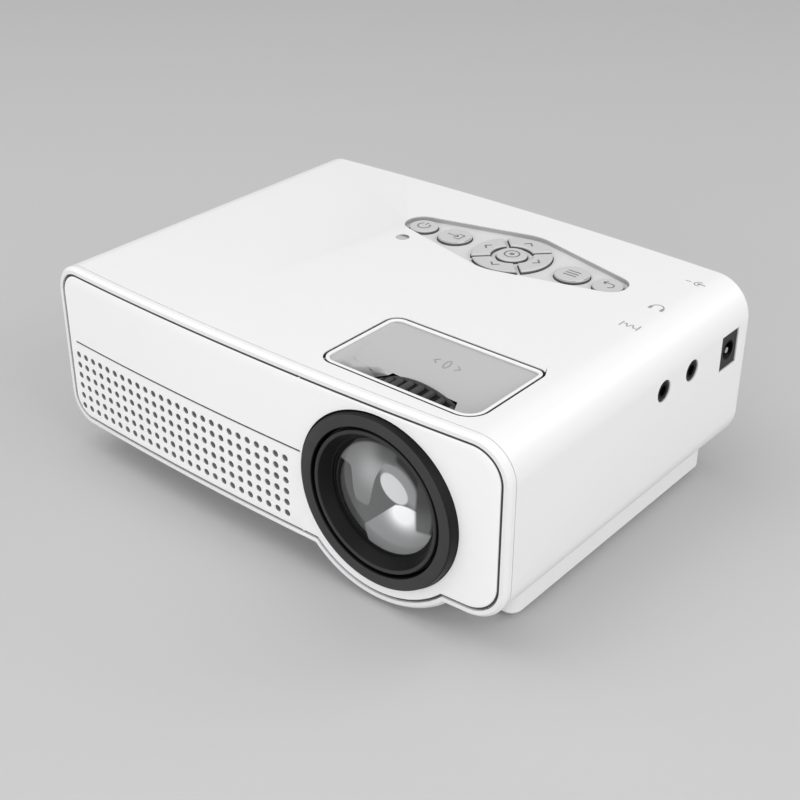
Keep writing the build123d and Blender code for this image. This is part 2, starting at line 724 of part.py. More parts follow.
with BuildPart() as outer_sleeve:
    extrude(plan_between(front_arc, RIM_T + SEAM, rear_arc, 0), amount=TOP_Z)
    extrude(body_outline(REAR_Y, 0), amount=BODY_D, mode=Mode.INTERSECT)
    extrude(body_outline(REAR_Y, WALL), amount=BODY_D, mode=Mode.SUBTRACT)
    # thicker plate under the keypad, then its recess and the holes for its keys
    extrude(kite(KEY_UNDER_Z, WALL), amount=TOP_Z - KEY_UNDER_Z - WALL / 2)
    extrude(kite(KEY_FLOOR_Z, 0), amount=KEY_RECESS, mode=Mode.SUBTRACT)
    for key_name, key_outline, stem_x, stem_y, key_w, key_turn in KEYS:
        extrude(key_outline(KEY_UNDER_Z, SLIP), amount=KEY_PLATE, mode=Mode.SUBTRACT)
    # posts for the keypad board
    with BuildSketch(Plane.XY.offset(KEY_BOARD_TOP)):
        with Locations(*KEY_POSTS):
            RegularPolygon(KEY_POST_R, POST_SIDES)
            RegularPolygon(KEY_SCREW_R + SCREW_CLEAR, POST_SIDES, mode=Mode.SUBTRACT)
    extrude(amount=KEY_UNDER_Z - KEY_BOARD_TOP)
    # opening for the focus tray, and the indicator's hole
    extrude(tray_outline(ROOF_Z, -TRAY_GAP), amount=WALL, mode=Mode.SUBTRACT)
    with BuildSketch(Plane.XY.offset(TOP_Z)):
        with Locations((LAMP_X, depth(LAMP_DEPTH))):
            Circle(LAMP_R + LAMP_CLEAR)
    extrude(amount=-WALL, mode=Mode.SUBTRACT)
    # screw bosses that hang from the roof
    with BuildSketch(Plane.XY.offset(BOSS_Z)):
        with Locations(*BOSSES):
            RegularPolygon(BOSS_R, POST_SIDES)
            RegularPolygon(SCREW_R + SCREW_CLEAR, POST_SIDES, mode=Mode.SUBTRACT)
    extrude(amount=ROOF_Z - BOSS_Z)
    # posts for the jack board
    with BuildSketch(Plane.XY.offset(JACK_BOARD_Z + BOARD_T)):
        with Locations(*JACK_POSTS):
            RegularPolygon(JACK_POST_R, POST_SIDES)
            RegularPolygon(SCREW_R + SCREW_CLEAR, POST_SIDES, mode=Mode.SUBTRACT)
    extrude(amount=ROOF_Z - JACK_BOARD_Z - BOARD_T)
    # lugs for the rear panel's screws
    lug_y = REAR_Y - REAR_SUNK - REAR_T - REAR_BOW
    with BuildSketch(facing(lug_y)):
        with Locations((HALF_W - WALL / 2, LUG_Z)):
            Rectangle(LUG_W, LUG_H, align=(Align.MAX, Align.CENTER))
        with Locations((WALL / 2 - HALF_W, LUG_Z)):
            Rectangle(LUG_W, LUG_H, align=(Align.MIN, Align.CENTER))
    extrude(amount=LUG_D)
    with BuildSketch(facing(lug_y)):
        with Locations((REAR_SCREW_X, LUG_Z), (-REAR_SCREW_X, LUG_Z)):
            RegularPolygon(SCREW_R + SCREW_CLEAR, POST_SIDES)
    extrude(amount=LUG_D, mode=Mode.SUBTRACT)
    # power socket and round jacks
    with BuildSketch(RIGHT_SIDE):
        with Locations((depth(DC_DEPTH), DC_Z)):
            Rectangle(DC_W, DC_H)
        with Locations((depth(PHONES_DEPTH), JACK_Z), (depth(AV_DEPTH), JACK_Z)):
            Circle(JACK_NOSE_R + JACK_NOSE_CLEAR)
    extrude(amount=-WALL, mode=Mode.SUBTRACT)
    # signal sockets
    with BuildSketch(LEFT_SIDE):
        with Locations((depth(HDMI_DEPTH), MAIN_TOP_Z + HDMI_H / 2)):
            Rectangle(HDMI_W + 2 * PORT_CLEAR, HDMI_H + 2 * PORT_CLEAR)
        with Locations((depth(USB_DEPTH), MAIN_TOP_Z + USB_H / 2)):
            Rectangle(USB_W + 2 * PORT_CLEAR, USB_H + 2 * PORT_CLEAR)
        with Locations((depth(VGA_DEPTH), MAIN_TOP_Z + VGA_H / 2)):
            Rectangle(VGA_W + 2 * PORT_CLEAR, VGA_H + 2 * PORT_CLEAR)
        with Locations((depth(CARD_DEPTH), MAIN_TOP_Z + CARD_H / 2)):
            Rectangle(CARD_W + 2 * PORT_CLEAR, CARD_H + 2 * PORT_CLEAR)
    extrude(amount=WALL, mode=Mode.SUBTRACT)
    # openings for the lower cover and the chin
    with BuildSketch(Plane.XY):
        with Locations((0, depth((PLINTH_FRONT + PLINTH_REAR) / 2))):
            opening_d = PLINTH_REAR - PLINTH_FRONT + 2 * SEAM
            RectangleRounded(PLINTH_W + 2 * SEAM, opening_d, PLINTH_R + SEAM)
    extrude(amount=PLINTH_WALL_Z + SEAM, mode=Mode.SUBTRACT)
    chin_back = PLINTH_FRONT + PLINTH_R
    notch = chin_outline(depth(chin_back), CHIN_R + SEAM, PLINTH_WALL_Z)
    extrude(notch, amount=chin_back, mode=Mode.SUBTRACT)
save(outer_sleeve, "outer_sleeve")


with BuildPart() as front_frame:
    add(front_layer(front_outline(FRONT_Y, 0), 0, RIM_T))
    frame_face = front_frame.faces().filter_by(GeomType.CYLINDER).sort_by(Axis.Y)[0]
    chamfer(frame_face.edges(), RIM_BEVEL)
    add(front_layer(body_outline(FRONT_Y, WALL + SEAM), RIM_T, FRAME_D))
    add(front_layer(front_outline(FRONT_Y, RIM_W), -RIM_T, PANEL_T), mode=Mode.SUBTRACT)
    add(front_layer(front_outline(FRONT_Y, FRAME_IN), -RIM_T, FRAME_D + RIM_T), mode=Mode.SUBTRACT)
    # the chin's trough, which the focus ring dips into
    chin = chin_outline(depth(PLINTH_FRONT - SEAM), CHIN_R, SLEEVE_Z + WALL)
    add(flat_backed(chin, RIM_T, PLINTH_FRONT))
    trough = chin_outline(depth(PLINTH_FRONT), CHIN_BORE_R, LENS_Z)
    add(flat_backed(trough, RIM_T, PLINTH_FRONT), mode=Mode.SUBTRACT)
save(front_frame, "front_frame")


with BuildSketch(facing(FRONT_Y)) as grille_line:
    with Locations((LINE_X, TOP_Z - LINE_DROP)):
        Rectangle(LENS_X - TRIM_R - LINE_X, LINE_W, align=(Align.MIN, Align.CENTER))

with BuildPart() as front_panel:
    add(front_layer(front_outline(FRONT_Y, RIM_W + GROOVE), 0, PANEL_T))
    boss_back = LENS_SEAT + LENS_BOSS_T
    add(flat_backed(lens_circle(depth(boss_back), LENS_BOSS_R), PANEL_T / 2, boss_back))
    seat = lens_circle(depth(LENS_SEAT), TRIM_BASE_R + SEAM / 2)
    extrude(seat, amount=2 * LENS_SEAT, mode=Mode.SUBTRACT)
    add(front_layer(grille_line.sketch, -LINE_DEPTH, LINE_DEPTH), mode=Mode.SUBTRACT)
    with BuildSketch(facing(depth(2 * LENS_SEAT))):
        with Locations((LENS_X, LENS_Z)):
            Circle(SPIGOT_R + SEAM)
        with Locations((GRILLE_X, GRILLE_Z)):
            with GridLocations(GRILLE_PITCH, GRILLE_PITCH, GRILLE_COLS, GRILLE_ROWS):
                Rectangle(GRILLE_HOLE, GRILLE_HOLE)
    extrude(amount=4 * LENS_SEAT, mode=Mode.SUBTRACT)
save(front_panel, "front_panel")


window_w = WINDOW_COLS * GRILLE_PITCH
window_h = WINDOW_ROWS * GRILLE_PITCH
window_x = GRILLE_X + (WINDOW_FIRST_COL + WINDOW_COLS / 2 - GRILLE_COLS / 2) * GRILLE_PITCH
window_z = GRILLE_Z + (GRILLE_ROWS - WINDOW_ROWS) / 2 * GRILLE_PITCH

with BuildSketch(facing(FRONT_Y)) as backing_outline:
    with Locations((GRILLE_X, GRILLE_Z + BACKING_RISE)):
        RectangleRounded(BACKING_W, BACKING_H, BACKING_R)
    with Locations((window_x, window_z)):
        Rectangle(window_w, window_h, mode=Mode.SUBTRACT)

with BuildPart() as grille_backing:
    add(front_layer(backing_outline.sketch, PANEL_T, PANEL_T + BACKING_T))
save(grille_backing, "grille_backing")


with BuildSketch(facing(FRONT_Y)) as filter_outline:
    with Locations((window_x, window_z)):
        Rectangle(window_w + 2 * FILTER_LAP, window_h + 2 * FILTER_LAP)

with BuildPart() as dust_filter:
    add(front_layer(filter_outline.sketch, PANEL_T + BACKING_T, PANEL_T + BACKING_T + FILTER_T))
save(dust_filter, "dust_filter")


with BuildPart() as rear_panel:
    extrude(plan_between(rear_arc, REAR_SUNK + REAR_T, rear_arc, REAR_SUNK), amount=TOP_Z)
    extrude(body_outline(REAR_Y, WALL + SEAM), amount=BODY_D, mode=Mode.INTERSECT)
    # posts for the fan
    with BuildSketch(facing(depth(FAN_END))):
        with Locations((LENS_X, LENS_Z)):
            with GridLocations(2 * FAN_HOLE, 2 * FAN_HOLE, 2, 2):
                RegularPolygon(FAN_POST_R, POST_SIDES)
    extrude(amount=-(BODY_D - FAN_END - REAR_SUNK - REAR_T))
    with BuildSketch(facing(depth(FAN_END))):
        with Locations((LENS_X, LENS_Z)):
            with GridLocations(2 * FAN_HOLE, 2 * FAN_HOLE, 2, 2):
                RegularPolygon(SCREW_R + SCREW_CLEAR, POST_SIDES)
    extrude(amount=FAN_END - FAN_FRONT - FAN_SCREW_L - SEAM, mode=Mode.SUBTRACT)
    # slots for the warm air
    with BuildSketch(facing(REAR_Y)):
        with Locations((LENS_X, LENS_Z)):
            with GridLocations(0, EXHAUST_PITCH, 1, EXHAUST_SLOTS):
                Rectangle(EXHAUST_W, EXHAUST_SLOT)
            with GridLocations(2 * FAN_HOLE, 2 * FAN_HOLE, 2, 2):
                RegularPolygon(FAN_POST_R, POST_SIDES, mode=Mode.SUBTRACT)
    extrude(amount=BODY_D - FAN_END, mode=Mode.SUBTRACT)
    # screw holes with sunk seats
    with BuildSketch(facing(REAR_Y)):
        with Locations((REAR_SCREW_X, LUG_Z), (-REAR_SCREW_X, LUG_Z)):
            RegularPolygon(SCREW_HEAD_R + HEAD_CLEAR, POST_SIDES)
    extrude(amount=REAR_SCREW_SEAT, mode=Mode.SUBTRACT)
    with BuildSketch(facing(REAR_Y)):
        with Locations((REAR_SCREW_X, LUG_Z), (-REAR_SCREW_X, LUG_Z)):
            RegularPolygon(SCREW_R + HEAD_CLEAR, POST_SIDES)
    extrude(amount=REAR_SCREW_SEAT + REAR_T, mode=Mode.SUBTRACT)
save(rear_panel, "rear_panel")


with BuildPart() as bottom_cover:
    plinth_y = depth((PLINTH_FRONT + PLINTH_REAR) / 2)
    plinth_d = PLINTH_REAR - PLINTH_FRONT
    with BuildSketch(Plane.XY.offset(PLINTH_Z)):
        with Locations((0, plinth_y)):
            RectangleRounded(PLINTH_W, plinth_d, PLINTH_R)
    extrude(amount=PLINTH_WALL_Z - PLINTH_Z)
    chamfer(bottom_cover.faces().sort_by(Axis.Z)[0].edges(), PLINTH_BEVEL)
    with BuildSketch(Plane.XY.offset(PLINTH_FLOOR_Z)):
        with Locations((0, plinth_y)):
            RectangleRounded(PLINTH_W - 2 * PLINTH_WALL, plinth_d - 2 * PLINTH_WALL, PLINTH_R - PLINTH_WALL)
    extrude(amount=PLINTH_WALL_Z, mode=Mode.SUBTRACT)
    ring_back = FOCUS_END + FOCUS_PLAY + SEAM + PLINTH_R
    extrude(lens_circle(depth(ring_back), FOCUS_R + FOCUS_CLEAR / 2), amount=ring_back, mode=Mode.SUBTRACT)
    # bosses under the case screws, and posts for the boards and the light engine
    with BuildSketch(Plane.XY.offset(PLINTH_Z)):
        with Locations(*BOSSES):
            RegularPolygon(BOSS_R, POST_SIDES)
    extrude(amount=BOSS_Z - PLINTH_Z)
    with BuildSketch(Plane.XY.offset(PLINTH_FLOOR_Z)):
        with Locations(*MAIN_POSTS):
            RegularPolygon(MAIN_POST_R, POST_SIDES)
            RegularPolygon(SCREW_R + SCREW_CLEAR, POST_SIDES, mode=Mode.SUBTRACT)
    extrude(amount=MAIN_Z - PLINTH_FLOOR_Z)
    with BuildSketch(Plane.XY.offset(PLINTH_FLOOR_Z)):
        with Locations(*ENGINE_EARS):
            RegularPolygon(MAIN_POST_R, POST_SIDES)
            RegularPolygon(SCREW_R + SCREW_CLEAR, POST_SIDES, mode=Mode.SUBTRACT)
    extrude(amount=ENGINE_Z - PLINTH_FLOOR_Z)
    with BuildSketch(Plane.XY.offset(PLINTH_Z)):
        with Locations((0, depth(TRIPOD_DEPTH))):
            RegularPolygon(TRIPOD_BOSS_R, POST_SIDES)
    extrude(amount=TRIPOD_L + WALL)
    with BuildSketch(Plane.XY.offset(PLINTH_Z)):
        with Locations((0, depth(TRIPOD_DEPTH))):
            Circle(TRIPOD_OUT_R + PRESS)
    extrude(amount=TRIPOD_L + PRESS, mode=Mode.SUBTRACT)
    # sunk screw holes, foot seats and air slots
    with BuildSketch(Plane.XY.offset(PLINTH_Z)):
        with Locations(*BOSSES):
            RegularPolygon(SCREW_HEAD_R + HEAD_CLEAR, POST_SIDES)
    extrude(amount=SCREW_SUNK, mode=Mode.SUBTRACT)
    with BuildSketch(Plane.XY.offset(PLINTH_Z)):
        with Locations(*BOSSES):
            RegularPolygon(SCREW_R + HEAD_CLEAR, POST_SIDES)
    extrude(amount=BOSS_Z, mode=Mode.SUBTRACT)
    with BuildSketch(Plane.XY.offset(PLINTH_Z)):
        with Locations(*FEET):
            Circle(FOOT_R + SEAM)
    extrude(amount=FOOT_SUNK, mode=Mode.SUBTRACT)
    with BuildSketch(Plane.XY.offset(PLINTH_Z)):
        with Locations((LENS_X, depth(ENGINE_MID)), (SPEAKER_X, depth(SPEAKER_DEPTH))):
            with GridLocations(0, VENT_PITCH, 1, VENTS):
                Rectangle(VENT_W, VENT_SLOT)
    extrude(amount=PLINTH_WALL, mode=Mode.SUBTRACT)
save(bottom_cover, "bottom_cover")


with BuildPart() as lens_trim_ring:
    revolve(
        lens_section(
            (-TRIM_PROUD, TRIM_BORE_R),
            (-TRIM_PROUD, TRIM_R),
            (LENS_SEAT, TRIM_BASE_R),
            (LENS_SEAT, SPIGOT_R),
            (SPIGOT_END, SPIGOT_R),
            (SPIGOT_END, TRIM_BORE_R),
        ),
        LENS_AXIS,
    )
save(lens_trim_ring, "lens_trim_ring")


with BuildPart() as lens_mount:
    revolve(
        lens_section(
            (MOUNT_FRONT, BARREL_R + RUN),
            (MOUNT_FRONT, MOUNT_NECK_R),
            (FOCUS_END + FOCUS_PLAY, MOUNT_NECK_R),
            (FOCUS_END + FOCUS_PLAY, MOUNT_R),
            (MOUNT_END, MOUNT_R),
            (MOUNT_END, BARREL_R + RUN),
        ),
        LENS_AXIS,
    )
    with BuildSketch(facing(depth(MOUNT_END))):
        with Locations((LENS_X, LENS_Z)):
            Rectangle(FLANGE_W, FLANGE_H)
            Circle(BARREL_R + RUN, mode=Mode.SUBTRACT)
            with GridLocations(FLANGE_HOLE_X, FLANGE_HOLE_Z, 2, 2):
                RegularPolygon(SCREW_R + HEAD_CLEAR, POST_SIDES, mode=Mode.SUBTRACT)
    extrude(amount=FLANGE_T)
    # snap hooks that keep the focus ring on the neck
    with BuildSketch(facing(depth(MOUNT_FRONT))):
        with Locations((LENS_X, LENS_Z)):
            with PolarLocations((BARREL_R + RUN + HOOK_R) / 2 + RUN, HOOKS):
                Rectangle(HOOK_R - BARREL_R - RUN, HOOK_W)
    extrude(amount=MOUNT_FRONT - FOCUS_FRONT + FOCUS_PLAY)
    # straight slot that keeps the focus pin from turning
    with Locations(Plane((LENS_X, depth(FOCUS_MID), LENS_Z)) * Rotation(0, 90 - PIN_ANGLE, 0)):
        Box(
            2 * (PIN_R + PIN_CLEAR),
            2 * (PIN_R + PIN_CLEAR + FOCUS_TRAVEL),
            MOUNT_R,
            align=LOW,
            mode=Mode.SUBTRACT,
        )
save(lens_mount, "lens_mount")


with BuildPart() as focus_ring:
    rib_angle = 360 / FOCUS_RIBS
    rib_w = FOCUS_R * radians(rib_angle) / 2
    extrude(lens_circle(depth(FOCUS_FRONT), FOCUS_R), amount=-FOCUS_T)
    with BuildSketch(facing(depth(FOCUS_FRONT))):
        with Locations((LENS_X, LENS_Z)):
            with PolarLocations(FOCUS_R, FOCUS_RIBS):
                Rectangle(2 * FOCUS_RIB_DEPTH, rib_w)
    extrude(amount=-FOCUS_T, mode=Mode.SUBTRACT)
    bore = lens_circle(depth(FOCUS_FRONT), MOUNT_NECK_R + RUN)
    extrude(bore, amount=-FOCUS_T, mode=Mode.SUBTRACT)
    # helical groove that the focus pin follows
    groove_turn = 2 * (FOCUS_TURN + GROOVE_MARGIN)
    groove_run = FOCUS_LEAD * groove_turn / 360
    with BuildLine() as groove_path:
        Helix(
            FOCUS_LEAD,
            groove_run,
            MOUNT_NECK_R,
            center=(LENS_X, depth(FOCUS_MID) - groove_run / 2, LENS_Z),
            direction=(0, 1, 0),
        )
    with BuildSketch(Plane(groove_path.line @ 0, x_dir=(0, 0, 1), z_dir=groove_path.line % 0)):
        Rectangle(2 * (PIN_TIP_R - MOUNT_NECK_R + PIN_CLEAR), 2 * (PIN_R + PIN_CLEAR))
    sweep(is_frenet=True, mode=Mode.SUBTRACT)
save(focus_ring, "focus_ring")


with BuildPart() as lens_barrel:
    revolve(
        lens_section(
            (BARREL_FRONT, BARREL_MOUTH_R),
            (BARREL_FRONT, BARREL_R),
            (BARREL_END, BARREL_R),
            (BARREL_END, REAR_BORE_R),
            (REAR_SEAT, REAR_BORE_R),
            (REAR_SEAT, BARREL_BORE_R),
            (MOUTH_END, BARREL_BORE_R),
            (MOUTH_END, LIP_R),
        ),
        LENS_AXIS,
    )
    with Locations(Plane((LENS_X, depth(FOCUS_MID), LENS_Z)) * Rotation(0, 90 - PIN_ANGLE, 0)):
        with Locations((0, 0, PIN_FOOT_R)):
            Cylinder(PIN_R + PRESS, BARREL_R, align=LOW, mode=Mode.SUBTRACT)
save(lens_barrel, "lens_barrel")


with BuildPart() as focus_pin:
    with Locations(Plane((LENS_X, depth(FOCUS_MID), LENS_Z)) * Rotation(0, 90 - PIN_ANGLE, 0)):
        with Locations((0, 0, PIN_FOOT_R)):
            Cylinder(PIN_R, PIN_TIP_R - PIN_FOOT_R, align=LOW)
save(focus_pin, "focus_pin")


with BuildPart() as front_lens:
    revolve(glass_section(MOUTH_END, EDGE_T, GLASS_R, GLASS_DOME_R, GLASS_RISE), LENS_AXIS)
save(front_lens, "front_lens")

with BuildPart() as rear_lens:
    revolve(glass_section(REAR_SEAT, EDGE_T, REAR_GLASS_R, REAR_DOME_R, GLASS_RISE), LENS_AXIS)
save(rear_lens, "rear_lens")


with BuildPart() as focus_tray:
    left_top = TRAY_X - TRAY_W / 2 + TRAY_LIP
    front_inner = depth(TRAY_DEPTH - TRAY_D / 2 + TRAY_LIP)
    rear_inner = depth(TRAY_DEPTH + TRAY_D / 2 - TRAY_LIP)
    slope_front = depth(SCOOP_FRONT)
    slope_front_run = slope_front - front_inner
    extrude(tray_outline(TOP_Z - TRAY_LIP_T, 0), amount=TRAY_LIP_T)
    extrude(tray_outline(TRAY_LOW_Z, TRAY_LIP - TRAY_SIDE), amount=TRAY_LOW)
    # the hollow above the twisted floor, which falls to the front and to the right
    floor_rear = TOP_Z - SCOOP_REAR
    floor_left = TOP_Z - SCOOP_LEFT
    floor_right = TOP_Z - SCOOP_RIGHT
    slant = left_top + SCOOP_RUN
    rear_low = floor_rear + SEAM
    front_low = floor_left + SCOOP_RISE
    rear_section = scoop_section(rear_inner, left_top + SCOOP_REAR, floor_rear, floor_rear, rear_low)
    front_section = scoop_section(slope_front, slant, floor_left, floor_right, front_low)
    loft([rear_section, front_section], ruled=True, mode=Mode.SUBTRACT)
    # the open slot before the floor, where the focus ring comes up
    extrude(front_section, amount=slope_front_run, mode=Mode.SUBTRACT)
    with BuildSketch(Plane.XY.offset(TRAY_LOW_Z)):
        with Locations((slant, depth(SCOOP_FRONT))):
            slot_w = TRAY_X + TRAY_W / 2 - TRAY_LIP - slant
            Rectangle(slot_w, slope_front_run, align=(Align.MIN, Align.MAX))
    extrude(amount=TRAY_LOW, mode=Mode.SUBTRACT)
    # the hollow below the floor, and the room for the focus ring and the lens mount
    under_rear = floor_rear - TRAY_FLOOR_T
    under_left = floor_left - TRAY_FLOOR_T
    under_right = floor_right - TRAY_FLOOR_T
    skirt_y = depth(SCOOP_FRONT + TRAY_SKIRT)
    rear_hollow = under_section(rear_inner, under_rear, under_rear)
    front_hollow = under_section(skirt_y, under_left, under_right)
    loft([rear_hollow, front_hollow], ruled=True, mode=Mode.SUBTRACT)
    ring_room = lens_circle(depth(SCOOP_FRONT), FOCUS_R + TRAY_RING_CLEAR)
    extrude(ring_room, amount=SCOOP_FRONT, mode=Mode.SUBTRACT)
    mount_room = lens_circle(depth(MOUNT_END), MOUNT_R + TRAY_SLOT_CLEAR)
    extrude(mount_room, amount=MOUNT_END - SCOOP_FRONT, mode=Mode.SUBTRACT)
save(focus_tray, "focus_tray")


for key_name, key_outline, stem_x, stem_y, key_w, key_turn in KEYS:
    with BuildPart() as key:
        extrude(key_outline(KEY_BAR_Z, 0), amount=KEY_FLOOR_Z + KEY_PROUD - KEY_BAR_Z)
        chamfer(key.faces().sort_by(Axis.Z)[-1].edges(), KEY_EDGE_R)
        with Locations(Location((KEY_X + stem_x, KEY_Y + stem_y, KEY_BAR_Z), key_turn)):
            Box(key_w + 2 * KEY_BAR_LAP, KEY_BAR_W, KEY_BAR_T, align=LOW)
            Box(KEY_STEM_W, KEY_STEM_W, KEY_STEM_L, align=HIGH)
    save(key, key_name)


with BuildPart() as keypad_board:
    with BuildSketch(Plane.XY.offset(KEY_BOARD_Z)):
        with Locations((KEY_X, depth(KEY_BOARD_DEPTH))):
            Rectangle(KEY_BOARD_W, KEY_BOARD_D)
        with Locations(*KEY_POSTS):
            RegularPolygon(KEY_SCREW_R + HEAD_CLEAR, POST_SIDES, mode=Mode.SUBTRACT)
    extrude(amount=BOARD_T)
save(keypad_board, "keypad_board")


with BuildPart() as tact_switches:
    for key_name, key_outline, stem_x, stem_y, key_w, key_turn in KEYS:
        with Locations((KEY_X + stem_x, KEY_Y + stem_y, KEY_BOARD_TOP)):
            Box(SWITCH_W, SWITCH_W, SWITCH_H, align=LOW)
            Box(PLUNGER_W, PLUNGER_W, SWITCH_H + PLUNGER_H, align=LOW)
save(tact_switches, "tact_switches")


with BuildPart() as keypad_screws:
    with Locations(*[(x, y, KEY_BOARD_Z) for x, y in KEY_POSTS]):
        add(screw(KEY_SCREW_L, KEY_SCREW_R, KEY_SCREW_HEAD_R, KEY_SCREW_HEAD_H))
save(keypad_screws, "keypad_screws")


with BuildPart() as indicator_lens:
    pipe_l = ROOF_Z - KEY_BOARD_TOP - KEY_REST
    with Locations((LAMP_X, depth(LAMP_DEPTH), ROOF_Z)):
        Cylinder(LAMP_R, WALL, align=LOW)
        Box(LAMP_FLANGE_W, LAMP_FLANGE_W, LAMP_FLANGE_T, align=HIGH)
        Box(LAMP_PIPE_W, LAMP_PIPE_W, pipe_l, align=HIGH)
save(indicator_lens, "indicator_lens")


with BuildPart() as main_board:
    with BuildSketch(Plane.XY.offset(MAIN_Z)):
        with Locations((MAIN_X, MAIN_Y)):
            Rectangle(MAIN_W, MAIN_D)
        with Locations(*MAIN_POSTS):
            RegularPolygon(SCREW_R + HEAD_CLEAR, POST_SIDES, mode=Mode.SUBTRACT)
    extrude(amount=BOARD_T)
save(main_board, "main_board")


with BuildPart() as board_screws:
    with Locations(*[Location((x, y, MAIN_TOP_Z), (180, 0, 0)) for x, y in MAIN_POSTS]):
        add(screw(SCREW_MID, SCREW_R, SCREW_HEAD_R, SCREW_HEAD_H))
    with Locations(*[(x, y, JACK_BOARD_Z) for x, y in JACK_POSTS]):
        add(screw(SCREW_MID, SCREW_R, SCREW_HEAD_R, SCREW_HEAD_H))
save(board_screws, "board_screws")


with BuildPart() as dc_jack:
    with BuildSketch(SOCKET_PLANE):
        with Locations((depth(DC_DEPTH), DC_Z)):
            Rectangle(DC_W - 2 * SOCKET_CLEAR, DC_H - 2 * SOCKET_CLEAR)
    extrude(amount=-SOCKET_DEEP)
    with BuildSketch(SOCKET_PLANE):
        with Locations((depth(DC_DEPTH), DC_Z - DC_BORE_DROP)):
            Circle(DC_BORE_R)
    extrude(amount=-DC_BORE_L, mode=Mode.SUBTRACT)
save(dc_jack, "dc_jack")


with BuildPart() as dc_pin:
    with BuildSketch(SOCKET_PLANE.offset(-DC_BORE_L)):
        with Locations((depth(DC_DEPTH), DC_Z - DC_BORE_DROP)):
            Circle(DC_PIN_R)
    extrude(amount=DC_PIN_L)
save(dc_pin, "dc_pin")


def add_round_jack(distance):
    """A 3.5 mm jack: a round nose for the hole in the case, a body and the bore."""
    with Locations(SOCKET_PLANE):
        with Locations((depth(distance), JACK_Z, 0)):
            Cylinder(JACK_NOSE_R, WALL, align=HIGH)
            with Locations((0, 0, -WALL)):
                body_h = JACK_NOSE_R + JACK_BOARD_Z - JACK_Z
                body_l = SOCKET_DEEP - WALL
                with Locations((0, (body_h - 2 * JACK_NOSE_R) / 2, 0)):
                    Box(JACK_W, body_h, body_l, align=HIGH)
            Cylinder(JACK_BORE_R, JACK_BORE_L, align=HIGH, mode=Mode.SUBTRACT)


with BuildPart() as headphone_jack:
    add_round_jack(PHONES_DEPTH)
save(headphone_jack, "headphone_jack")

with BuildPart() as av_jack:
    add_round_jack(AV_DEPTH)
save(av_jack, "av_jack")


with BuildPart() as jack_board:
    with BuildSketch(Plane.XY.offset(JACK_BOARD_Z)):
        with Locations((JACK_BOARD_X, depth((JACK_BOARD_FRONT + JACK_BOARD_REAR) / 2))):
            Rectangle(JACK_BOARD_W, JACK_BOARD_REAR - JACK_BOARD_FRONT)
        with Locations(*JACK_POSTS):
            RegularPolygon(SCREW_R + HEAD_CLEAR, POST_SIDES, mode=Mode.SUBTRACT)
        with Locations(*BOSSES):
            RegularPolygon(BOSS_R + JACK_NOTCH_CLEAR, POST_SIDES, mode=Mode.SUBTRACT)
    extrude(amount=BOARD_T)
save(jack_board, "jack_board")


with BuildPart() as hdmi_port:
    with BuildSketch(PORT_PLANE) as hdmi_shell:
        with Locations((depth(HDMI_DEPTH), MAIN_TOP_Z + HDMI_H / 2)):
            Rectangle(HDMI_W, HDMI_H)
        chamfer(hdmi_shell.vertices().group_by(Axis.Y)[0], HDMI_BEVEL)
    extrude(amount=PORT_LONG)
    with BuildSketch(PORT_PLANE) as hdmi_mouth:
        with Locations((depth(HDMI_DEPTH), MAIN_TOP_Z + HDMI_H / 2)):
            Rectangle(HDMI_W - 2 * PORT_WALL, HDMI_H - 2 * PORT_WALL)
        chamfer(hdmi_mouth.vertices().group_by(Axis.Y)[0], HDMI_BEVEL - PORT_WALL / 2)
    extrude(amount=PORT_CAVITY, mode=Mode.SUBTRACT)
    with BuildSketch(PORT_PLANE.offset(PORT_CAVITY)):
        with Locations((depth(HDMI_DEPTH), MAIN_TOP_Z + HDMI_H / 2)):
            Rectangle(HDMI_TONGUE_W, HDMI_TONGUE_H)
    extrude(amount=-TONGUE_L)
save(hdmi_port, "hdmi_port")


with BuildPart() as usb_port:
    with BuildSketch(PORT_PLANE):
        with Locations((depth(USB_DEPTH), MAIN_TOP_Z + USB_H / 2)):
            Rectangle(USB_W, USB_H)
    extrude(amount=PORT_LONG)
    with BuildSketch(PORT_PLANE):
        with Locations((depth(USB_DEPTH), MAIN_TOP_Z + USB_H / 2)):
            Rectangle(USB_W - 2 * PORT_WALL, USB_H - 2 * PORT_WALL)
    extrude(amount=PORT_CAVITY, mode=Mode.SUBTRACT)
    with BuildSketch(PORT_PLANE.offset(PORT_CAVITY)):
        with Locations((depth(USB_DEPTH), MAIN_TOP_Z + USB_H / 2 + USB_TONGUE_RISE)):
            Rectangle(USB_TONGUE_W, USB_TONGUE_H)
    extrude(amount=-TONGUE_L)
save(usb_port, "usb_port")


with BuildPart() as vga_port:
    vga_back = PORT_PLANE.offset(VGA_SHELL_L)
    with BuildSketch(vga_back):
        with Locations((depth(VGA_DEPTH), MAIN_TOP_Z + VGA_H / 2)):
            Rectangle(VGA_W, VGA_H)
    extrude(amount=PORT_LONG - VGA_SHELL_L)
    with BuildSketch(vga_back):
        with Locations((depth(VGA_DEPTH), MAIN_TOP_Z + VGA_H / 2)):
            Trapezoid(VGA_SHELL_W, VGA_SHELL_H, VGA_SLANT, rotation=180)
            with Locations((-VGA_NUT_X, 0), (VGA_NUT_X, 0)):
                RegularPolygon(VGA_NUT_R, POST_SIDES)
                RegularPolygon(SCREW_R, POST_SIDES, mode=Mode.SUBTRACT)
    extrude(amount=-VGA_SHELL_L)
    with BuildSketch(PORT_PLANE):
        with Locations((depth(VGA_DEPTH), MAIN_TOP_Z + VGA_H / 2)):
            Trapezoid(VGA_SHELL_W - 2 * PORT_WALL, VGA_SHELL_H - 2 * PORT_WALL, VGA_SLANT, rotation=180)
    extrude(amount=PORT_WALL, mode=Mode.SUBTRACT)
save(vga_port, "vga_port")


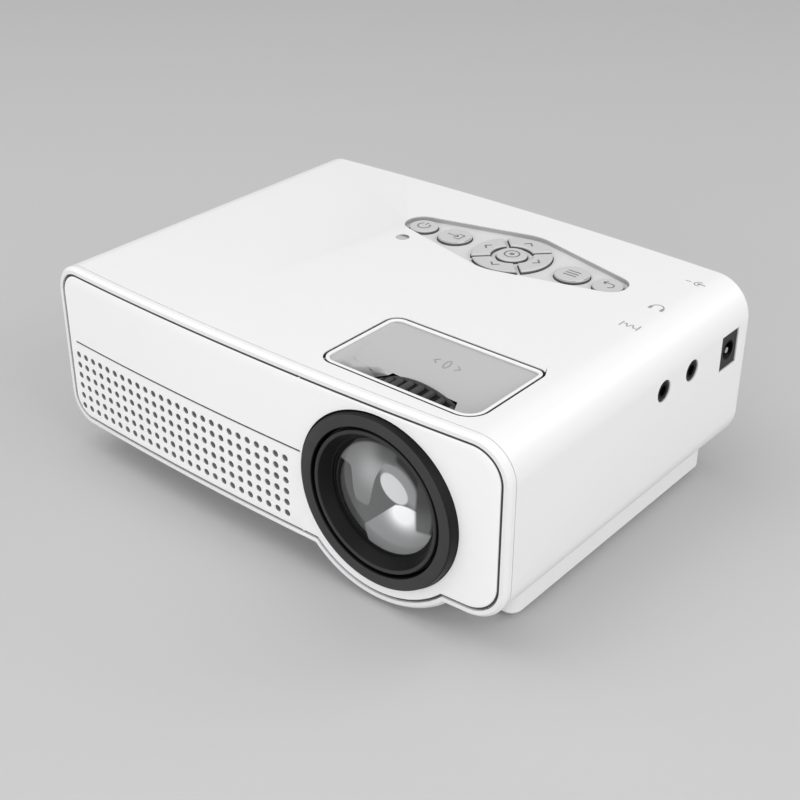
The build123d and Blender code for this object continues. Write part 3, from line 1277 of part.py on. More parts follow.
with BuildPart() as card_slot:
    with BuildSketch(PORT_PLANE):
        with Locations((depth(CARD_DEPTH), MAIN_TOP_Z + CARD_H / 2)):
            Rectangle(CARD_W, CARD_H)
    extrude(amount=PORT_LONG)
    with BuildSketch(PORT_PLANE):
        with Locations((depth(CARD_DEPTH), MAIN_TOP_Z + CARD_H / 2)):
            Rectangle(CARD_SLOT_W, CARD_SLOT_H)
    extrude(amount=CARD_SLOT_L, mode=Mode.SUBTRACT)
save(card_slot, "card_slot")


# Depth of each flat plate in the light engine, and its thickness
PLATES = [
    (FRESNEL_FRONT_DEPTH, FRESNEL_T),
    (LCD_DEPTH, LCD_T),
    (FRESNEL_REAR_DEPTH, FRESNEL_T),
]

with BuildPart() as optical_housing:
    engine_l = ENGINE_END - ENGINE_FRONT
    inner_w = ENGINE_W - 2 * ENGINE_WALL
    inner_h = ENGINE_H - 2 * ENGINE_WALL
    with Locations((LENS_X, depth(ENGINE_MID), LENS_Z)):
        Box(ENGINE_W, engine_l, ENGINE_H)
        Box(inner_w, engine_l - 2 * ENGINE_WALL, inner_h, mode=Mode.SUBTRACT)
    # rails for the flat plates, and the bulkhead of the condenser lens
    with BuildSketch(Plane.XY.offset(LENS_Z - inner_h / 2)):
        for front, thick in PLATES:
            rail_gap = thick + 2 * PLATE_CLEAR
            with Locations((LENS_X, depth(front + thick / 2))):
                with GridLocations(inner_w - RAIL_W, rail_gap + RAIL_T, 2, 2):
                    Rectangle(RAIL_W, RAIL_T)
        with Locations((LENS_X, depth(CONDENSER_DEPTH - PLATE_CLEAR))):
            Rectangle(inner_w, BULKHEAD_T, align=(Align.CENTER, Align.MAX))
    extrude(amount=inner_h)
    # windows at both ends and through the bulkhead
    with BuildSketch(facing(depth(ENGINE_END))):
        with Locations((LENS_X, LENS_Z)):
            Rectangle(ENGINE_WINDOW_W, ENGINE_WINDOW_H)
    extrude(amount=engine_l, mode=Mode.SUBTRACT)
    with BuildSketch(facing(depth(ENGINE_FRONT))):
        with Locations((LENS_X, LENS_Z)):
            with GridLocations(FLANGE_HOLE_X, FLANGE_HOLE_Z, 2, 2):
                RegularPolygon(SCREW_R + SCREW_CLEAR, POST_SIDES)
    extrude(amount=-ENGINE_WALL, mode=Mode.SUBTRACT)
    # ears that stand on the posts of the lower cover
    with BuildSketch(Plane.XY.offset(ENGINE_Z)):
        with Locations((LENS_X, depth(EAR_FRONT)), (LENS_X, depth(EAR_REAR))):
            Rectangle(2 * EAR_X + EAR_W, EAR_W)
        with Locations((LENS_X, depth(ENGINE_MID))):
            Rectangle(ENGINE_W - ENGINE_WALL, 2 * engine_l, mode=Mode.SUBTRACT)
        with Locations(*ENGINE_EARS):
            RegularPolygon(SCREW_R + HEAD_CLEAR, POST_SIDES, mode=Mode.SUBTRACT)
    extrude(amount=EAR_T)
save(optical_housing, "optical_housing")


def add_plate(front, thick):
    """A flat plate that fills the light engine's section, between two rails."""
    with Locations((LENS_X, depth(front), LENS_Z)):
        Box(
            ENGINE_W - 2 * ENGINE_WALL - 2 * PLATE_CLEAR,
            thick,
            ENGINE_H - 2 * ENGINE_WALL - 2 * PLATE_CLEAR,
            align=(Align.CENTER, Align.MIN, Align.CENTER),
        )


with BuildPart() as fresnel_front:
    add_plate(FRESNEL_FRONT_DEPTH, FRESNEL_T)
save(fresnel_front, "fresnel_front")

with BuildPart() as lcd_panel:
    add_plate(LCD_DEPTH, LCD_T)
    with Locations((LENS_X, depth(LCD_DEPTH), LENS_Z), (LENS_X, depth(LCD_DEPTH + LCD_T), LENS_Z)):
        view_w = ENGINE_W - 2 * ENGINE_WALL - 2 * LCD_FRAME
        view_h = ENGINE_H - 2 * ENGINE_WALL - 2 * LCD_FRAME
        Box(view_w, 2 * LCD_SUNK, view_h, mode=Mode.SUBTRACT)
save(lcd_panel, "lcd_panel")

with BuildPart() as fresnel_rear:
    add_plate(FRESNEL_REAR_DEPTH, FRESNEL_T)
save(fresnel_rear, "fresnel_rear")


with BuildPart() as condenser_lens:
    revolve(
        glass_section(
            CONDENSER_DEPTH,
            CONDENSER_T,
            CONDENSER_R,
            CONDENSER_DOME_R,
            CONDENSER_BULGE,
        ),
        LENS_AXIS,
    )
save(condenser_lens, "condenser_lens")


with BuildPart() as led_module:
    with Locations((LENS_X, depth(ENGINE_END), LENS_Z)):
        Box(LED_W, LED_T, LED_W, align=(Align.CENTER, Align.MIN, Align.CENTER))
        Box(LED_CHIP, LED_CHIP_T, LED_CHIP, align=(Align.CENTER, Align.MAX, Align.CENTER))
save(led_module, "led_module")


with BuildPart() as heat_sink:
    fin_pitch = (SINK_W - SINK_FIN_T) / (SINK_FINS - 1)
    with Locations((LENS_X, depth(SINK_FRONT), LENS_Z)):
        Box(SINK_W, SINK_BASE_T, SINK_H, align=(Align.CENTER, Align.MIN, Align.CENTER))
        with GridLocations(fin_pitch, 0, SINK_FINS, 1):
            Box(SINK_FIN_T, SINK_END - SINK_FRONT, SINK_H, align=(Align.CENTER, Align.MIN, Align.CENTER))
save(heat_sink, "heat_sink")


with BuildPart() as mount_screws:
    with Locations(*[Location((x, y, ENGINE_Z + EAR_T), (180, 0, 0)) for x, y in ENGINE_EARS]):
        add(screw(SCREW_SHORT, SCREW_R, SCREW_HEAD_R, SCREW_HEAD_H))
    with Locations(Location((LENS_X, depth(MOUNT_END - FLANGE_T), LENS_Z), (-90, 0, 0))):
        with GridLocations(FLANGE_HOLE_X, FLANGE_HOLE_Z, 2, 2):
            add(screw(SCREW_SHORT, SCREW_R, SCREW_HEAD_R, SCREW_HEAD_H))
save(mount_screws, "mount_screws")


with BuildPart() as fan_frame:
    with BuildSketch(facing(depth(FAN_FRONT))):
        with Locations((LENS_X, LENS_Z)):
            Rectangle(FAN_W, FAN_W)
            Circle(FAN_BORE_R, mode=Mode.SUBTRACT)
            with GridLocations(2 * FAN_HOLE, 2 * FAN_HOLE, 2, 2):
                RegularPolygon(SCREW_R + HEAD_CLEAR, POST_SIDES, mode=Mode.SUBTRACT)
    extrude(amount=-FAN_T)
    # struts that carry the hub's pin
    with BuildSketch(facing(depth(FAN_END))):
        with Locations((LENS_X, LENS_Z)):
            Circle(FAN_HUB_R)
            Rectangle(2 * FAN_BORE_R + FAN_STRUT_W / 4, FAN_STRUT_W)
            Rectangle(FAN_STRUT_W, 2 * FAN_BORE_R + FAN_STRUT_W / 4)
    extrude(amount=FAN_STRUT_T)
    pin_front = FAN_FRONT + FAN_HUB_FRONT + FAN_HUB_FACE_T
    extrude(lens_circle(depth(FAN_END), FAN_SHAFT_R), amount=FAN_END - pin_front)
save(fan_frame, "fan_frame")


with BuildPart() as fan_rotor:
    hub_front = FAN_FRONT + FAN_HUB_FRONT
    hub_end = FAN_END - FAN_STRUT_T - FAN_GAP
    extrude(lens_circle(depth(hub_end), FAN_HUB_R), amount=hub_end - hub_front)
    blade_l = FAN_BORE_R - FAN_TIP_CLEAR - FAN_TIP_CUT - FAN_BLADE_FOOT_R
    with Locations(facing(depth(FAN_FRONT + FAN_BLADE_MID))):
        with Locations((LENS_X, LENS_Z, 0)):
            with PolarLocations(FAN_BLADE_FOOT_R + blade_l / 2, FAN_BLADES):
                Box(blade_l, FAN_BLADE_CHORD, FAN_BLADE_T, rotation=(FAN_BLADE_PITCH, 0, 0))
    bore_front = pin_front - FAN_GAP
    extrude(lens_circle(depth(hub_end), FAN_SHAFT_R + RUN), amount=hub_end - bore_front, mode=Mode.SUBTRACT)
save(fan_rotor, "fan_rotor")


with BuildPart() as fan_screws:
    with Locations(Location((LENS_X, depth(FAN_FRONT), LENS_Z), (-90, 0, 0))):
        with GridLocations(2 * FAN_HOLE, 2 * FAN_HOLE, 2, 2):
            add(screw(FAN_SCREW_L, SCREW_R, SCREW_HEAD_R, SCREW_HEAD_H))
save(fan_screws, "fan_screws")


with BuildPart() as speaker:
    with Locations((SPEAKER_X, depth(SPEAKER_DEPTH), PLINTH_FLOOR_Z)):
        Box(SPEAKER_W, SPEAKER_D, SPEAKER_FRAME_T, align=LOW)
        Cylinder(SPEAKER_MAGNET_R, SPEAKER_H, align=LOW)
save(speaker, "speaker")


with BuildPart() as feet:
    with Locations(*[(x, y, 0) for x, y in FEET]):
        Cylinder(FOOT_R, FOOT_H + FOOT_SUNK, align=LOW)
save(feet, "feet")


with BuildPart() as case_screws:
    with Locations(*[(x, y, PLINTH_Z + SCREW_SUNK) for x, y in BOSSES]):
        add(screw(SCREW_L, SCREW_R, SCREW_HEAD_R, SCREW_HEAD_H))
save(case_screws, "case_screws")


with BuildPart() as rear_screws:
    rear_seat = REAR_Y - REAR_SCREW_SEAT
    seats = [(-REAR_SCREW_X, rear_seat, LUG_Z), (REAR_SCREW_X, rear_seat, LUG_Z)]
    with Locations(*[Location(seat, (90, 0, 0)) for seat in seats]):
        add(screw(REAR_SCREW_L, SCREW_R, SCREW_HEAD_R, SCREW_HEAD_H))
save(rear_screws, "rear_screws")


with BuildPart() as tripod_insert:
    with Locations((0, depth(TRIPOD_DEPTH), PLINTH_Z)):
        Cylinder(TRIPOD_OUT_R, TRIPOD_L, align=LOW)
        Cylinder(TRIPOD_R, TRIPOD_L, align=LOW, mode=Mode.SUBTRACT)
save(tripod_insert, "tripod_insert")
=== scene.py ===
import json
from contextlib import contextmanager

import bmesh
import bpy
import numpy as np
from bpy.props import FloatProperty, FloatVectorProperty, IntProperty, PointerProperty
from mathutils import Euler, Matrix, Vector


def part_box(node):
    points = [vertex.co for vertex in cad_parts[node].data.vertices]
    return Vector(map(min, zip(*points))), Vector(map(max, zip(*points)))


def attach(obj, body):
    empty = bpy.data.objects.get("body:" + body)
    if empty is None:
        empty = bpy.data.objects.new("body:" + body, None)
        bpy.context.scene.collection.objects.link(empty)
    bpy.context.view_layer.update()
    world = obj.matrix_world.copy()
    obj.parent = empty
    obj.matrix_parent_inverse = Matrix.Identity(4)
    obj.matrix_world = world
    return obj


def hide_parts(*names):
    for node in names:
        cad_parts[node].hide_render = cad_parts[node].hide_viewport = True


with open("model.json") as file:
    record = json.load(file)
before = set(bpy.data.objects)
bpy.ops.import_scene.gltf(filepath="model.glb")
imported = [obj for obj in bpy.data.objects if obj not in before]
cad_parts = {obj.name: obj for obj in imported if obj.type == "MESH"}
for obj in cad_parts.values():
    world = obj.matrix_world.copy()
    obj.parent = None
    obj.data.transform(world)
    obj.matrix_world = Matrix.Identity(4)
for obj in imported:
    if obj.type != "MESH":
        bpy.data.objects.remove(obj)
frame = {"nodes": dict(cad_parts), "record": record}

bl_info = {
    "name": "Mini projector",
    "version": (1, 0, 0),
    "blender": (4, 5, 0),
    "location": "View3D > Sidebar > Projector",
    "description": "Dresses the packed mini projector with its mouldings, lens, grille, keys and studio",
    "category": "Add Mesh",
}

MM = 0.001
FULL_TURN = 2 * np.pi

# Depth in metres of the relief in gloss and in pebbled plastic.
GLOSS_RELIEF = 0.000006
PEBBLE_RELIEF = 0.00001

# The least angle of an edge that stays sharp, for new pieces in general and for the others by name.
SHARP_ANGLE = 35.0
ROUNDED_ANGLE = 32.0
PANEL_ANGLE = 40.0
TRAY_ANGLE = 38.0
FLOOR_ANGLE = 60.0
CAD_ANGLE = 30.0

# How many points the turned pieces have round the lens axis, and the focus ring for each of its ribs.
TRIM_STEPS = 192
BARREL_STEPS = 160
GLASS_STEPS = 96
RIB_STEPS = 12

# Places read from the frame, turned from metres into millimetres. The lens looks towards -Y.
ring_low, ring_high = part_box("lens_trim_ring")
panel_low, panel_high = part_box("front_panel")
focus_low, focus_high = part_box("focus_ring")
glass_low, glass_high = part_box("front_lens")
barrel_low, barrel_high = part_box("lens_barrel")
sleeve_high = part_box("outer_sleeve")[1]

LENS_X = (ring_low[0] + ring_high[0]) / 2 / MM
LENS_Z = (ring_low[2] + ring_high[2]) / 2 / MM
RING_BASE_R = (ring_high[0] - ring_low[0]) / 2 / MM
RING_FACE_Y = ring_low[1] / MM
RING_BACK_Y = ring_high[1] / MM
RING_PROUD = 0.8
FRONT_Y = RING_FACE_Y + RING_PROUD
CASE_TOP = sleeve_high[2] / MM
HALF_W = sleeve_high[0] / MM

# The front panel's outline, drawn in a little from the node's, with the chin round the lens below it.
PANEL_DRAW = 0.25
PANEL_LEFT = panel_low[0] / MM + PANEL_DRAW
PANEL_RIGHT = panel_high[0] / MM - PANEL_DRAW
PANEL_TOP = panel_high[2] / MM - PANEL_DRAW
PANEL_LOW = 14.3 + PANEL_DRAW
CHIN_R = LENS_Z - panel_low[2] / MM - PANEL_DRAW
LEFT_CORNER_R = 7.6
RIGHT_CORNER_R = 10.1
PANEL_EDGE_R = 0.5
GAP_DEEP = 0.1
GAP_REACH = 0.6
BLOCK_RIGHT = 20.0
SEAT_R = RING_BASE_R + 0.1
SEAT_DEPTH = 2.6

# The grille's middle, the margin round its outer holes, and the line above it.
GRILLE_X = -37.2
GRILLE_Z = 28.3
GRILLE_MARGIN = 1.6
CELL_SIDE = 5
HOLE_DEEP = 1.8
HOLE_EDGE = 0.12
LINE_Z = 43.4
LINE_HALF = 0.38
LINE_DEEP = 0.6
LINE_LEFT = -88.6

# The trim ring, the barrel's lip and mouth, and the domed glass: radii about the lens axis, places along it.
TRIM_BORE = 24.5
TRIM_FACE_R = 28.7
TRIM_SEAT_BORE = 26.0
TRIM_EDGE_R = 0.6
BORE_EDGE_R = 0.35
LIP_R = 23.35
LIP_INNER_R = 22.1
LIP_EDGE = 0.25
LIP_DEEP = 2.4
MOUTH_END_R = 20.1
BARREL_BORE = 19.6
BARREL_END_BORE = 21.1
BARREL_END_LONG = 6.0
DOME_R = 19.0
DOME_RISE = 3.3
DOME_RIM_Y = glass_low[1] / MM + 1.65
DOME_SLIP = 0.15
GLASS_SEAT_Y = glass_low[1] / MM + 2.6
AXIS_R = 0.02

# The focus ring, its ribs and its side grooves.
FOCUS_R = (focus_high[0] - focus_low[0]) / 2 / MM
FOCUS_FRONT = focus_low[1] / MM
FOCUS_BACK = focus_high[1] / MM
FOCUS_BORE = 25.7
FOCUS_RIBS = 50
RIB_DEEP = 1.2
FOCUS_GROOVE = 0.9

# The keypad's recess, with its floor below the tops of the keys.
power_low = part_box("power_button")[0]
back_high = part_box("back_button")[1]
up_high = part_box("up_button")[1]
down_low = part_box("down_button")[0]
PAD_AROUND = 6
KEY_PROUD = 1.3
PAD_LOW = (power_low[0] / MM - PAD_AROUND, down_low[1] / MM - PAD_AROUND)
PAD_HIGH = (back_high[0] / MM + PAD_AROUND, up_high[1] / MM + PAD_AROUND)
PAD_FLOOR = up_high[2] / MM - KEY_PROUD
KEY_EDGE = 0.00025

# The opening for the focus tray, with the rounding of each corner and the angle at which its arc starts.
tray_low, tray_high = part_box("focus_tray")
OPENING_SIDE = 0.35
OPENING_LEFT = tray_low[0] / MM - OPENING_SIDE
OPENING_RIGHT = tray_high[0] / MM + OPENING_SIDE
OPENING_FRONT = tray_low[1] / MM - OPENING_SIDE
OPENING_REAR = tray_high[1] / MM + OPENING_SIDE
TRAY_CORNERS = [
    (OPENING_RIGHT, OPENING_REAR, 3.8, 0),
    (OPENING_LEFT, OPENING_REAR, 5.0, 90),
    (OPENING_LEFT, OPENING_FRONT, 5.6, 180),
    (OPENING_RIGHT, OPENING_FRONT, 7.35, 270),
]
CORNER_STEPS = 10

# The tray in that opening: the gap round it, the lip's rings, and the sunk floor inside the lip.
TRAY_GAP = 0.8
LIP_INSET = 1.35
SCOOP_LEFT_X = OPENING_LEFT + TRAY_GAP + LIP_INSET
SCOOP_RIGHT_X = OPENING_RIGHT - TRAY_GAP - LIP_INSET
SCOOP_REAR_Y = OPENING_REAR - TRAY_GAP - LIP_INSET
SCOOP_FRONT_Y = OPENING_FRONT + TRAY_GAP + LIP_INSET
UNDER_LIP = 0.4
RING_CLEAR = 0.45
SCOOP_REAR_DEEP = 0.95
LEFT_FALL = 3.45
RIGHT_FALL = 6.85
CREASE_BEND = 6.5
CREASE_POWER = 1.7
CREASE_SOFT = 0.35
WALL_TOP_DEEP = 0.6
WALL_POWER = 2.2
ROLL_DEEP = 7.0
ROLL_POWER = 1.5
ROLL_LONG = 4.5
ROLL_LEFT_X = 24.0
ROLL_RIGHT_X = 37.0
ROLL_FADE_LEFT = 2.5
ROLL_FADE_RIGHT = 3.0
ROLL_BEHIND = 0.6
ROLL_BEND = 5.4
ROLL_BEND_X = 33.0
ROLL_BEND_LONG = 7.5
LIP_RINGS = [(0.0, -1.9), (0.0, -0.3), (0.09, -0.09), (0.3, 0.0), (0.95, 0.0), (1.16, -0.09), (1.25, -0.3)]
LIP_RINGS += [(1.3, -0.6), (LIP_INSET, -9.0)]
FOCUS_SIGN = (49.5, -36.5)

# The printed signs: how deep they reach into a key or the case, the thickness of those on the case, how much
# larger and bolder than drawn each kind is, and where the ones beside the sockets lie behind the front.
PRINT_SUNK = 0.03
CASE_PRINT_T = 0.05
KEY_SIGN_SCALE = 1.3
KEY_SIGN_WEIGHT = 1.35
CASE_SIGN_SCALE = 1.15
CASE_SIGN_WEIGHT = 1.5
FOCUS_SIGN_SCALE = 1.3
SOCKET_SIGN_X = 80.0
SOCKET_SIGNS = {"power": 126.3, "phones": 102.4, "av": 86.1}

# The camera, solved from the object's proportions in the photograph: places in metres, angles in degrees.
CAMERA_PLACE = (0.275477, -0.331669, 0.271162)
CAMERA_TARGET = (0.0013, -0.00025, 0.023604)
CAMERA_ROLL = 0.15
FOCAL = 64.08
AZIMUTH = 39.6

# The lamps, in metres: place, the point it looks at, width and height, and the setting that holds its power.
LAMPS = {
    "key_lamp": ((-0.35, -0.25, 0.95), (0.0, 0.0, 0.04), (0.9, 0.9), "key_power"),
    "side_lamp": ((0.95, -0.15, 0.45), (0.0, 0.0, 0.04), (0.5, 0.7), "fill_power"),
    "front_lamp": ((0.1, -1.05, 0.35), (0.03, 0.0, 0.04), (0.8, 0.4), "fill_power"),
    "rear_lamp": ((0.62, 0.72, 0.6), (0.06, 0.0, 0.05), (0.5, 0.4), "rear_power"),
}

# The studio's floor, in millimetres from the object's middle, and the round cove that rises to its backdrop.
FLOOR_HALF = 4000
FLOOR_FRONT = 3000
FLOOR_REAR = 2500
COVE_R = 900
BACKDROP_HIGH = 3500

KEY_NODES = [
    "power_button", "source_button", "ok_button", "menu_button", "back_button",
    "up_button", "down_button", "left_button", "right_button",
]
ARROW_KEYS = {"up_button": (0, 1), "down_button": (0, -1), "left_button": (-1, 0), "right_button": (1, 0)}

# The finish of each node that is shown as the CAD model has it.
PLAIN_NODES = {
    "grey": ["grille_backing"],
    "black": [
        "lens_mount", "optical_housing", "tact_switches", "fan_frame", "fan_rotor", "speaker", "lcd_panel",
    ],
    "steel": [
        "focus_pin", "keypad_screws", "board_screws", "mount_screws", "fan_screws", "case_screws",
        "rear_screws", "dc_pin", "hdmi_port", "usb_port", "vga_port", "card_slot",
    ],
    "board": ["keypad_board", "main_board", "jack_board", "led_module"],
    "aluminium": ["heat_sink"],
    "foam": ["dust_filter"],
    "rubber": ["feet"],
    "brass": ["tripod_insert"],
    "glass": ["rear_lens", "condenser_lens", "fresnel_front", "fresnel_rear"],
    "lamp": ["indicator_lens"],
}

# The sockets on the right side, with the radius of each one's mouth, painted black as shade.
SOCKET_MOUTHS = {"dc_jack": 3.5, "headphone_jack": 2.7, "av_jack": 2.7}


class CaseSettings(bpy.types.PropertyGroup):
    """Colours and small sizes of the white case."""

    white: FloatVectorProperty(
        name="White", description="Colour of the case mouldings", subtype="COLOR",
        size=3, default=(0.80, 0.80, 0.805), min=0, max=1,
    )
    # The sunk floor's grey stands for painted shade in the scoop, below the white lip.
    tray_floor: FloatVectorProperty(
        name="Tray floor", description="Colour of the focus tray's sunk floor", subtype="COLOR",
        size=3, default=(0.43, 0.43, 0.43), min=0, max=1,
    )
    gap: FloatVectorProperty(
        name="Gaps", description="Shaded colour of the gaps and holes", subtype="COLOR",
        size=3, default=(0.055, 0.055, 0.057), min=0, max=1,
    )
    edge: FloatProperty(
        name="Edge rounding", description="Radius of the moulded edges", subtype="DISTANCE",
        unit="LENGTH", default=0.00035, min=0.0001, max=0.002,
    )
    bow: FloatProperty(
        name="Front bow", description="How far the front's ends lie behind its middle", subtype="DISTANCE",
        unit="LENGTH", default=0.00355, min=0.0, max=0.01,
    )


class GrilleSettings(bpy.types.PropertyGroup):
    """The round holes of the front panel."""

    columns: IntProperty(name="Columns", description="Holes across", default=26, min=2, max=40)
    rows: IntProperty(name="Rows", description="Holes from top to bottom", default=6, min=2, max=12)
    pitch: FloatProperty(
        name="Pitch", description="Distance between neighbouring holes", subtype="DISTANCE",
        unit="LENGTH", default=0.00405, min=0.002, max=0.01,
    )
    radius: FloatProperty(
        name="Hole radius", description="Radius of each hole", subtype="DISTANCE",
        unit="LENGTH", default=0.0012, min=0.0005, max=0.0018,
    )


class LensSettings(bpy.types.PropertyGroup):
    """Colours of the lens group."""

    trim: FloatVectorProperty(
        name="Trim ring", description="Colour of the ring round the lens", subtype="COLOR",
        size=3, default=(0.042, 0.042, 0.0435), min=0, max=1,
    )
    # Laid only as painted shade: on the walls and bores of the trim ring and barrel, in its mouth, and in the
    # focus ring's gaps.
    barrel: FloatVectorProperty(
        name="Barrel", description="Colour of the barrel and its mouth", subtype="COLOR",
        size=3, default=(0.004, 0.004, 0.0042), min=0, max=1,
    )
    coating: FloatVectorProperty(
        name="Coating", description="Tint of the coated glass", subtype="COLOR",
        size=3, default=(0.96, 0.97, 0.98), min=0, max=1,
    )


class KeySettings(bpy.types.PropertyGroup):
    """Colours of the keypad."""

    key: FloatVectorProperty(
        name="Key", description="Colour of the keys", subtype="COLOR",
        size=3, default=(0.55, 0.55, 0.555), min=0, max=1,
    )
    sign: FloatVectorProperty(
        name="Sign", description="Colour of the printed signs", subtype="COLOR",
        size=3, default=(0.16, 0.16, 0.165), min=0, max=1,
    )


class StudioSettings(bpy.types.PropertyGroup):
    """Floor and lamps of the studio."""

    floor: FloatVectorProperty(
        name="Floor", description="Colour of the floor and backdrop", subtype="COLOR",
        size=3, default=(0.50, 0.50, 0.505), min=0, max=1,
    )
    key_power: FloatProperty(name="Key lamp", description="Power of the big lamp", default=3.5, min=0)
    fill_power: FloatProperty(
        name="Fill lamps", description="Power of the front and side lamps", default=2.6, min=0,
    )
    rear_power: FloatProperty(name="Rear lamp", description="Power of the lamp behind", default=1.5, min=0)
    world_light: FloatProperty(name="Room light", description="Strength of the room", default=0.77, min=0)


class Sum:
    """A shader socket, or a number, that plain arithmetic turns into Math nodes."""

    def __init__(self, tree, value):
        self.tree = tree
        self.value = value

    def math(self, operation, *others):
        node = self.tree.nodes.new("ShaderNodeMath")
        node.operation = operation
        for place, term in enumerate((self, *others)):
            value = term.value if isinstance(term, Sum) else term
            if isinstance(value, bpy.types.NodeSocket):
                self.tree.links.new(value, node.inputs[place])
            else:
                node.inputs[place].default_value = value
        return Sum(self.tree, node.outputs[0])

    def __add__(self, other):
        return self.math("ADD", other)

    def __radd__(self, other):
        return self.math("ADD", other)

    def __sub__(self, other):
        return self.math("SUBTRACT", other)

    def __rsub__(self, other):
        return Sum(self.tree, other).math("SUBTRACT", self)

    def __mul__(self, other):
        return self.math("MULTIPLY", other)

    def __rmul__(self, other):
        return self.math("MULTIPLY", other)

    def __truediv__(self, other):
        return self.math("DIVIDE", other)

    def __rtruediv__(self, other):
        return Sum(self.tree, other).math("DIVIDE", self)

    def __pow__(self, other):
        return self.math("POWER", other)

    def __rpow__(self, other):
        return Sum(self.tree, other).math("POWER", self)

    def least(self, other):
        return self.math("MINIMUM", other)

    def sine(self):
        return self.math("SINE")

    def step(self, start, end):
        """Rises smoothly from 0 at start to 1 at end."""
        node = self.tree.nodes.new("ShaderNodeMapRange")
        node.interpolation_type = "SMOOTHSTEP"
        self.tree.links.new(self.value, node.inputs["Value"])
        node.inputs["From Min"].default_value = start
        node.inputs["From Max"].default_value = end
        return Sum(self.tree, node.outputs["Result"])


class Finish:
    """One material, and the nodes that make its pattern."""

    def __init__(self, name):
        self.material = bpy.data.materials.new(name)
        self.material.use_nodes = True
        self.tree = self.material.node_tree
        self.shader = self.tree.nodes["Principled BSDF"]

    def node(self, kind, output=0, settings=None, **inputs):
        """A node of any other kind, with constants and sockets put on its inputs by name."""
        made = self.tree.nodes.new(kind)
        for key, value in (settings or {}).items():
            setattr(made, key, value)
        for key, value in inputs.items():
            self.put(made.inputs[key.replace("_", " ")], value)
        return Sum(self.tree, made.outputs[output])

    def put(self, socket, value):
        """A constant or another socket on one input."""
        value = value.value if isinstance(value, Sum) else value
        if isinstance(value, bpy.types.NodeSocket):
            self.tree.links.new(value, socket)
        else:
            socket.default_value = value

    def place(self):
        """Object coordinates, in metres."""
        return self.node("ShaderNodeTexCoord", output="Object")

    def axes(self):
        """The three object coordinates, each as a number in metres."""
        split = self.tree.nodes.new("ShaderNodeSeparateXYZ")
        self.put(split.inputs[0], self.place())
        return [Sum(self.tree, split.outputs[axis]) for axis in range(3)]

    def axes_mm(self):
        """The three object coordinates, each as a number in millimetres."""
        return [value * 1000 for value in self.axes()]

    def noise(self, scale, detail=2.0, rough=0.5):
        """Soft noise whose blotches are about 1 / scale metres wide, from 0 to 1."""
        return self.node(
            "ShaderNodeTexNoise", output=0, Vector=self.place(), Scale=scale, Detail=detail, Roughness=rough
        )

    def mix(self, share, first, second):
        """A colour that goes from the first to the second as the share goes from 0 to 1."""
        made = self.tree.nodes.new("ShaderNodeMix")
        made.data_type = "RGBA"
        self.put(made.inputs[0], share)
        for place, colour in ((6, first), (7, second)):
            self.put(made.inputs[place], colour if isinstance(colour, Sum) else (*colour, 1))
        return Sum(self.tree, made.outputs[2])

    def bump(self, height, distance):
        """A normal that follows a height from 0 to 1, for relief of a real depth in metres."""
        return self.node("ShaderNodeBump", Height=height, Distance=distance, Strength=1.0)

    def set(self, **inputs):
        """Puts values on the surface shader's inputs."""
        for key, value in inputs.items():
            self.put(self.shader.inputs[key.replace("_", " ")], value)


def shade(colour, factor):
    """A colour made lighter or darker."""
    return tuple(min(1.0, channel * factor) for channel in colour)


def gloss_marks(finish):
    """The slow flow marks and the fine grain of gloss plastic, each from 0 to 1."""
    return finish.noise(14.0, 3.0), finish.noise(5200.0, 2.0)


def black_marks(finish):
    """The pebbled grain and the rubbed spots of black plastic, each from 0 to 1."""
    return finish.noise(3600.0, 3.0, 0.6), finish.noise(90.0, 3.0).step(0.45, 0.75)


def gloss_moulding(name, colour, rough=0.42, coat=0.08):
    """Injection-moulded gloss plastic: faint flow marks, a fine grain and slightly uneven polish."""
    finish = Finish(name)
    flow, grain = gloss_marks(finish)
    dust = finish.noise(900.0, 4.0, 0.7).step(0.66, 0.8)
    tone = finish.mix(flow * 0.5 + dust * 0.35, shade(colour, 1.015), shade(colour, 0.965))
    finish.set(Base_Color=tone, Roughness=flow * 0.08 + grain * 0.05 + (rough - 0.06))
    finish.set(Coat_Weight=flow * 0.1 + coat, Coat_Roughness=0.12, IOR=1.5)
    finish.set(Normal=finish.bump(grain * 0.6 + flow * 0.4, GLOSS_RELIEF))
    return finish.material


def satin_black(name, colour, rough):
    """Spark-eroded black plastic: a fine pebbled grain, and rubbed spots that shine a little more."""
    finish = Finish(name)
    pebble, rubbed = black_marks(finish)
    tone = finish.mix(pebble * 0.6 + rubbed * 0.4, shade(colour, 0.8), shade(colour, 1.35))
    finish.set(Base_Color=tone, Roughness=rough + 0.1 * pebble - 0.1 * rubbed)
    finish.set(Normal=finish.bump(pebble, PEBBLE_RELIEF))
    return finish.material


def about_lens(finish):
    """Millimetres right of the lens axis, above it, and away from it."""
    across, _, up = finish.axes_mm()
    right = across - LENS_X
    above = up - LENS_Z
    return right, above, (right * right + above * above) ** 0.5


def turned_with_painted_shade(name, face, dark, inner, outer, rough=0.42):
    """Turned black plastic: grey between two radii about the lens axis, painted shade inside and outside."""
    finish = Finish(name)
    reach = about_lens(finish)[2]
    on_face = within(reach, inner, outer, 0.12)
    pebble, rubbed = black_marks(finish)
    grey = finish.mix(pebble * 0.6 + rubbed * 0.4, shade(face, 0.88), shade(face, 1.2))
    # Off the face the colour is painted shade on walls, bores and gaps.
    finish.set(Base_Color=finish.mix(on_face, dark, grey), Roughness=rough + 0.1 * pebble - 0.05 * rubbed)
    finish.set(Specular_IOR_Level=0.2, Normal=finish.bump(pebble, PEBBLE_RELIEF))
    return finish.material


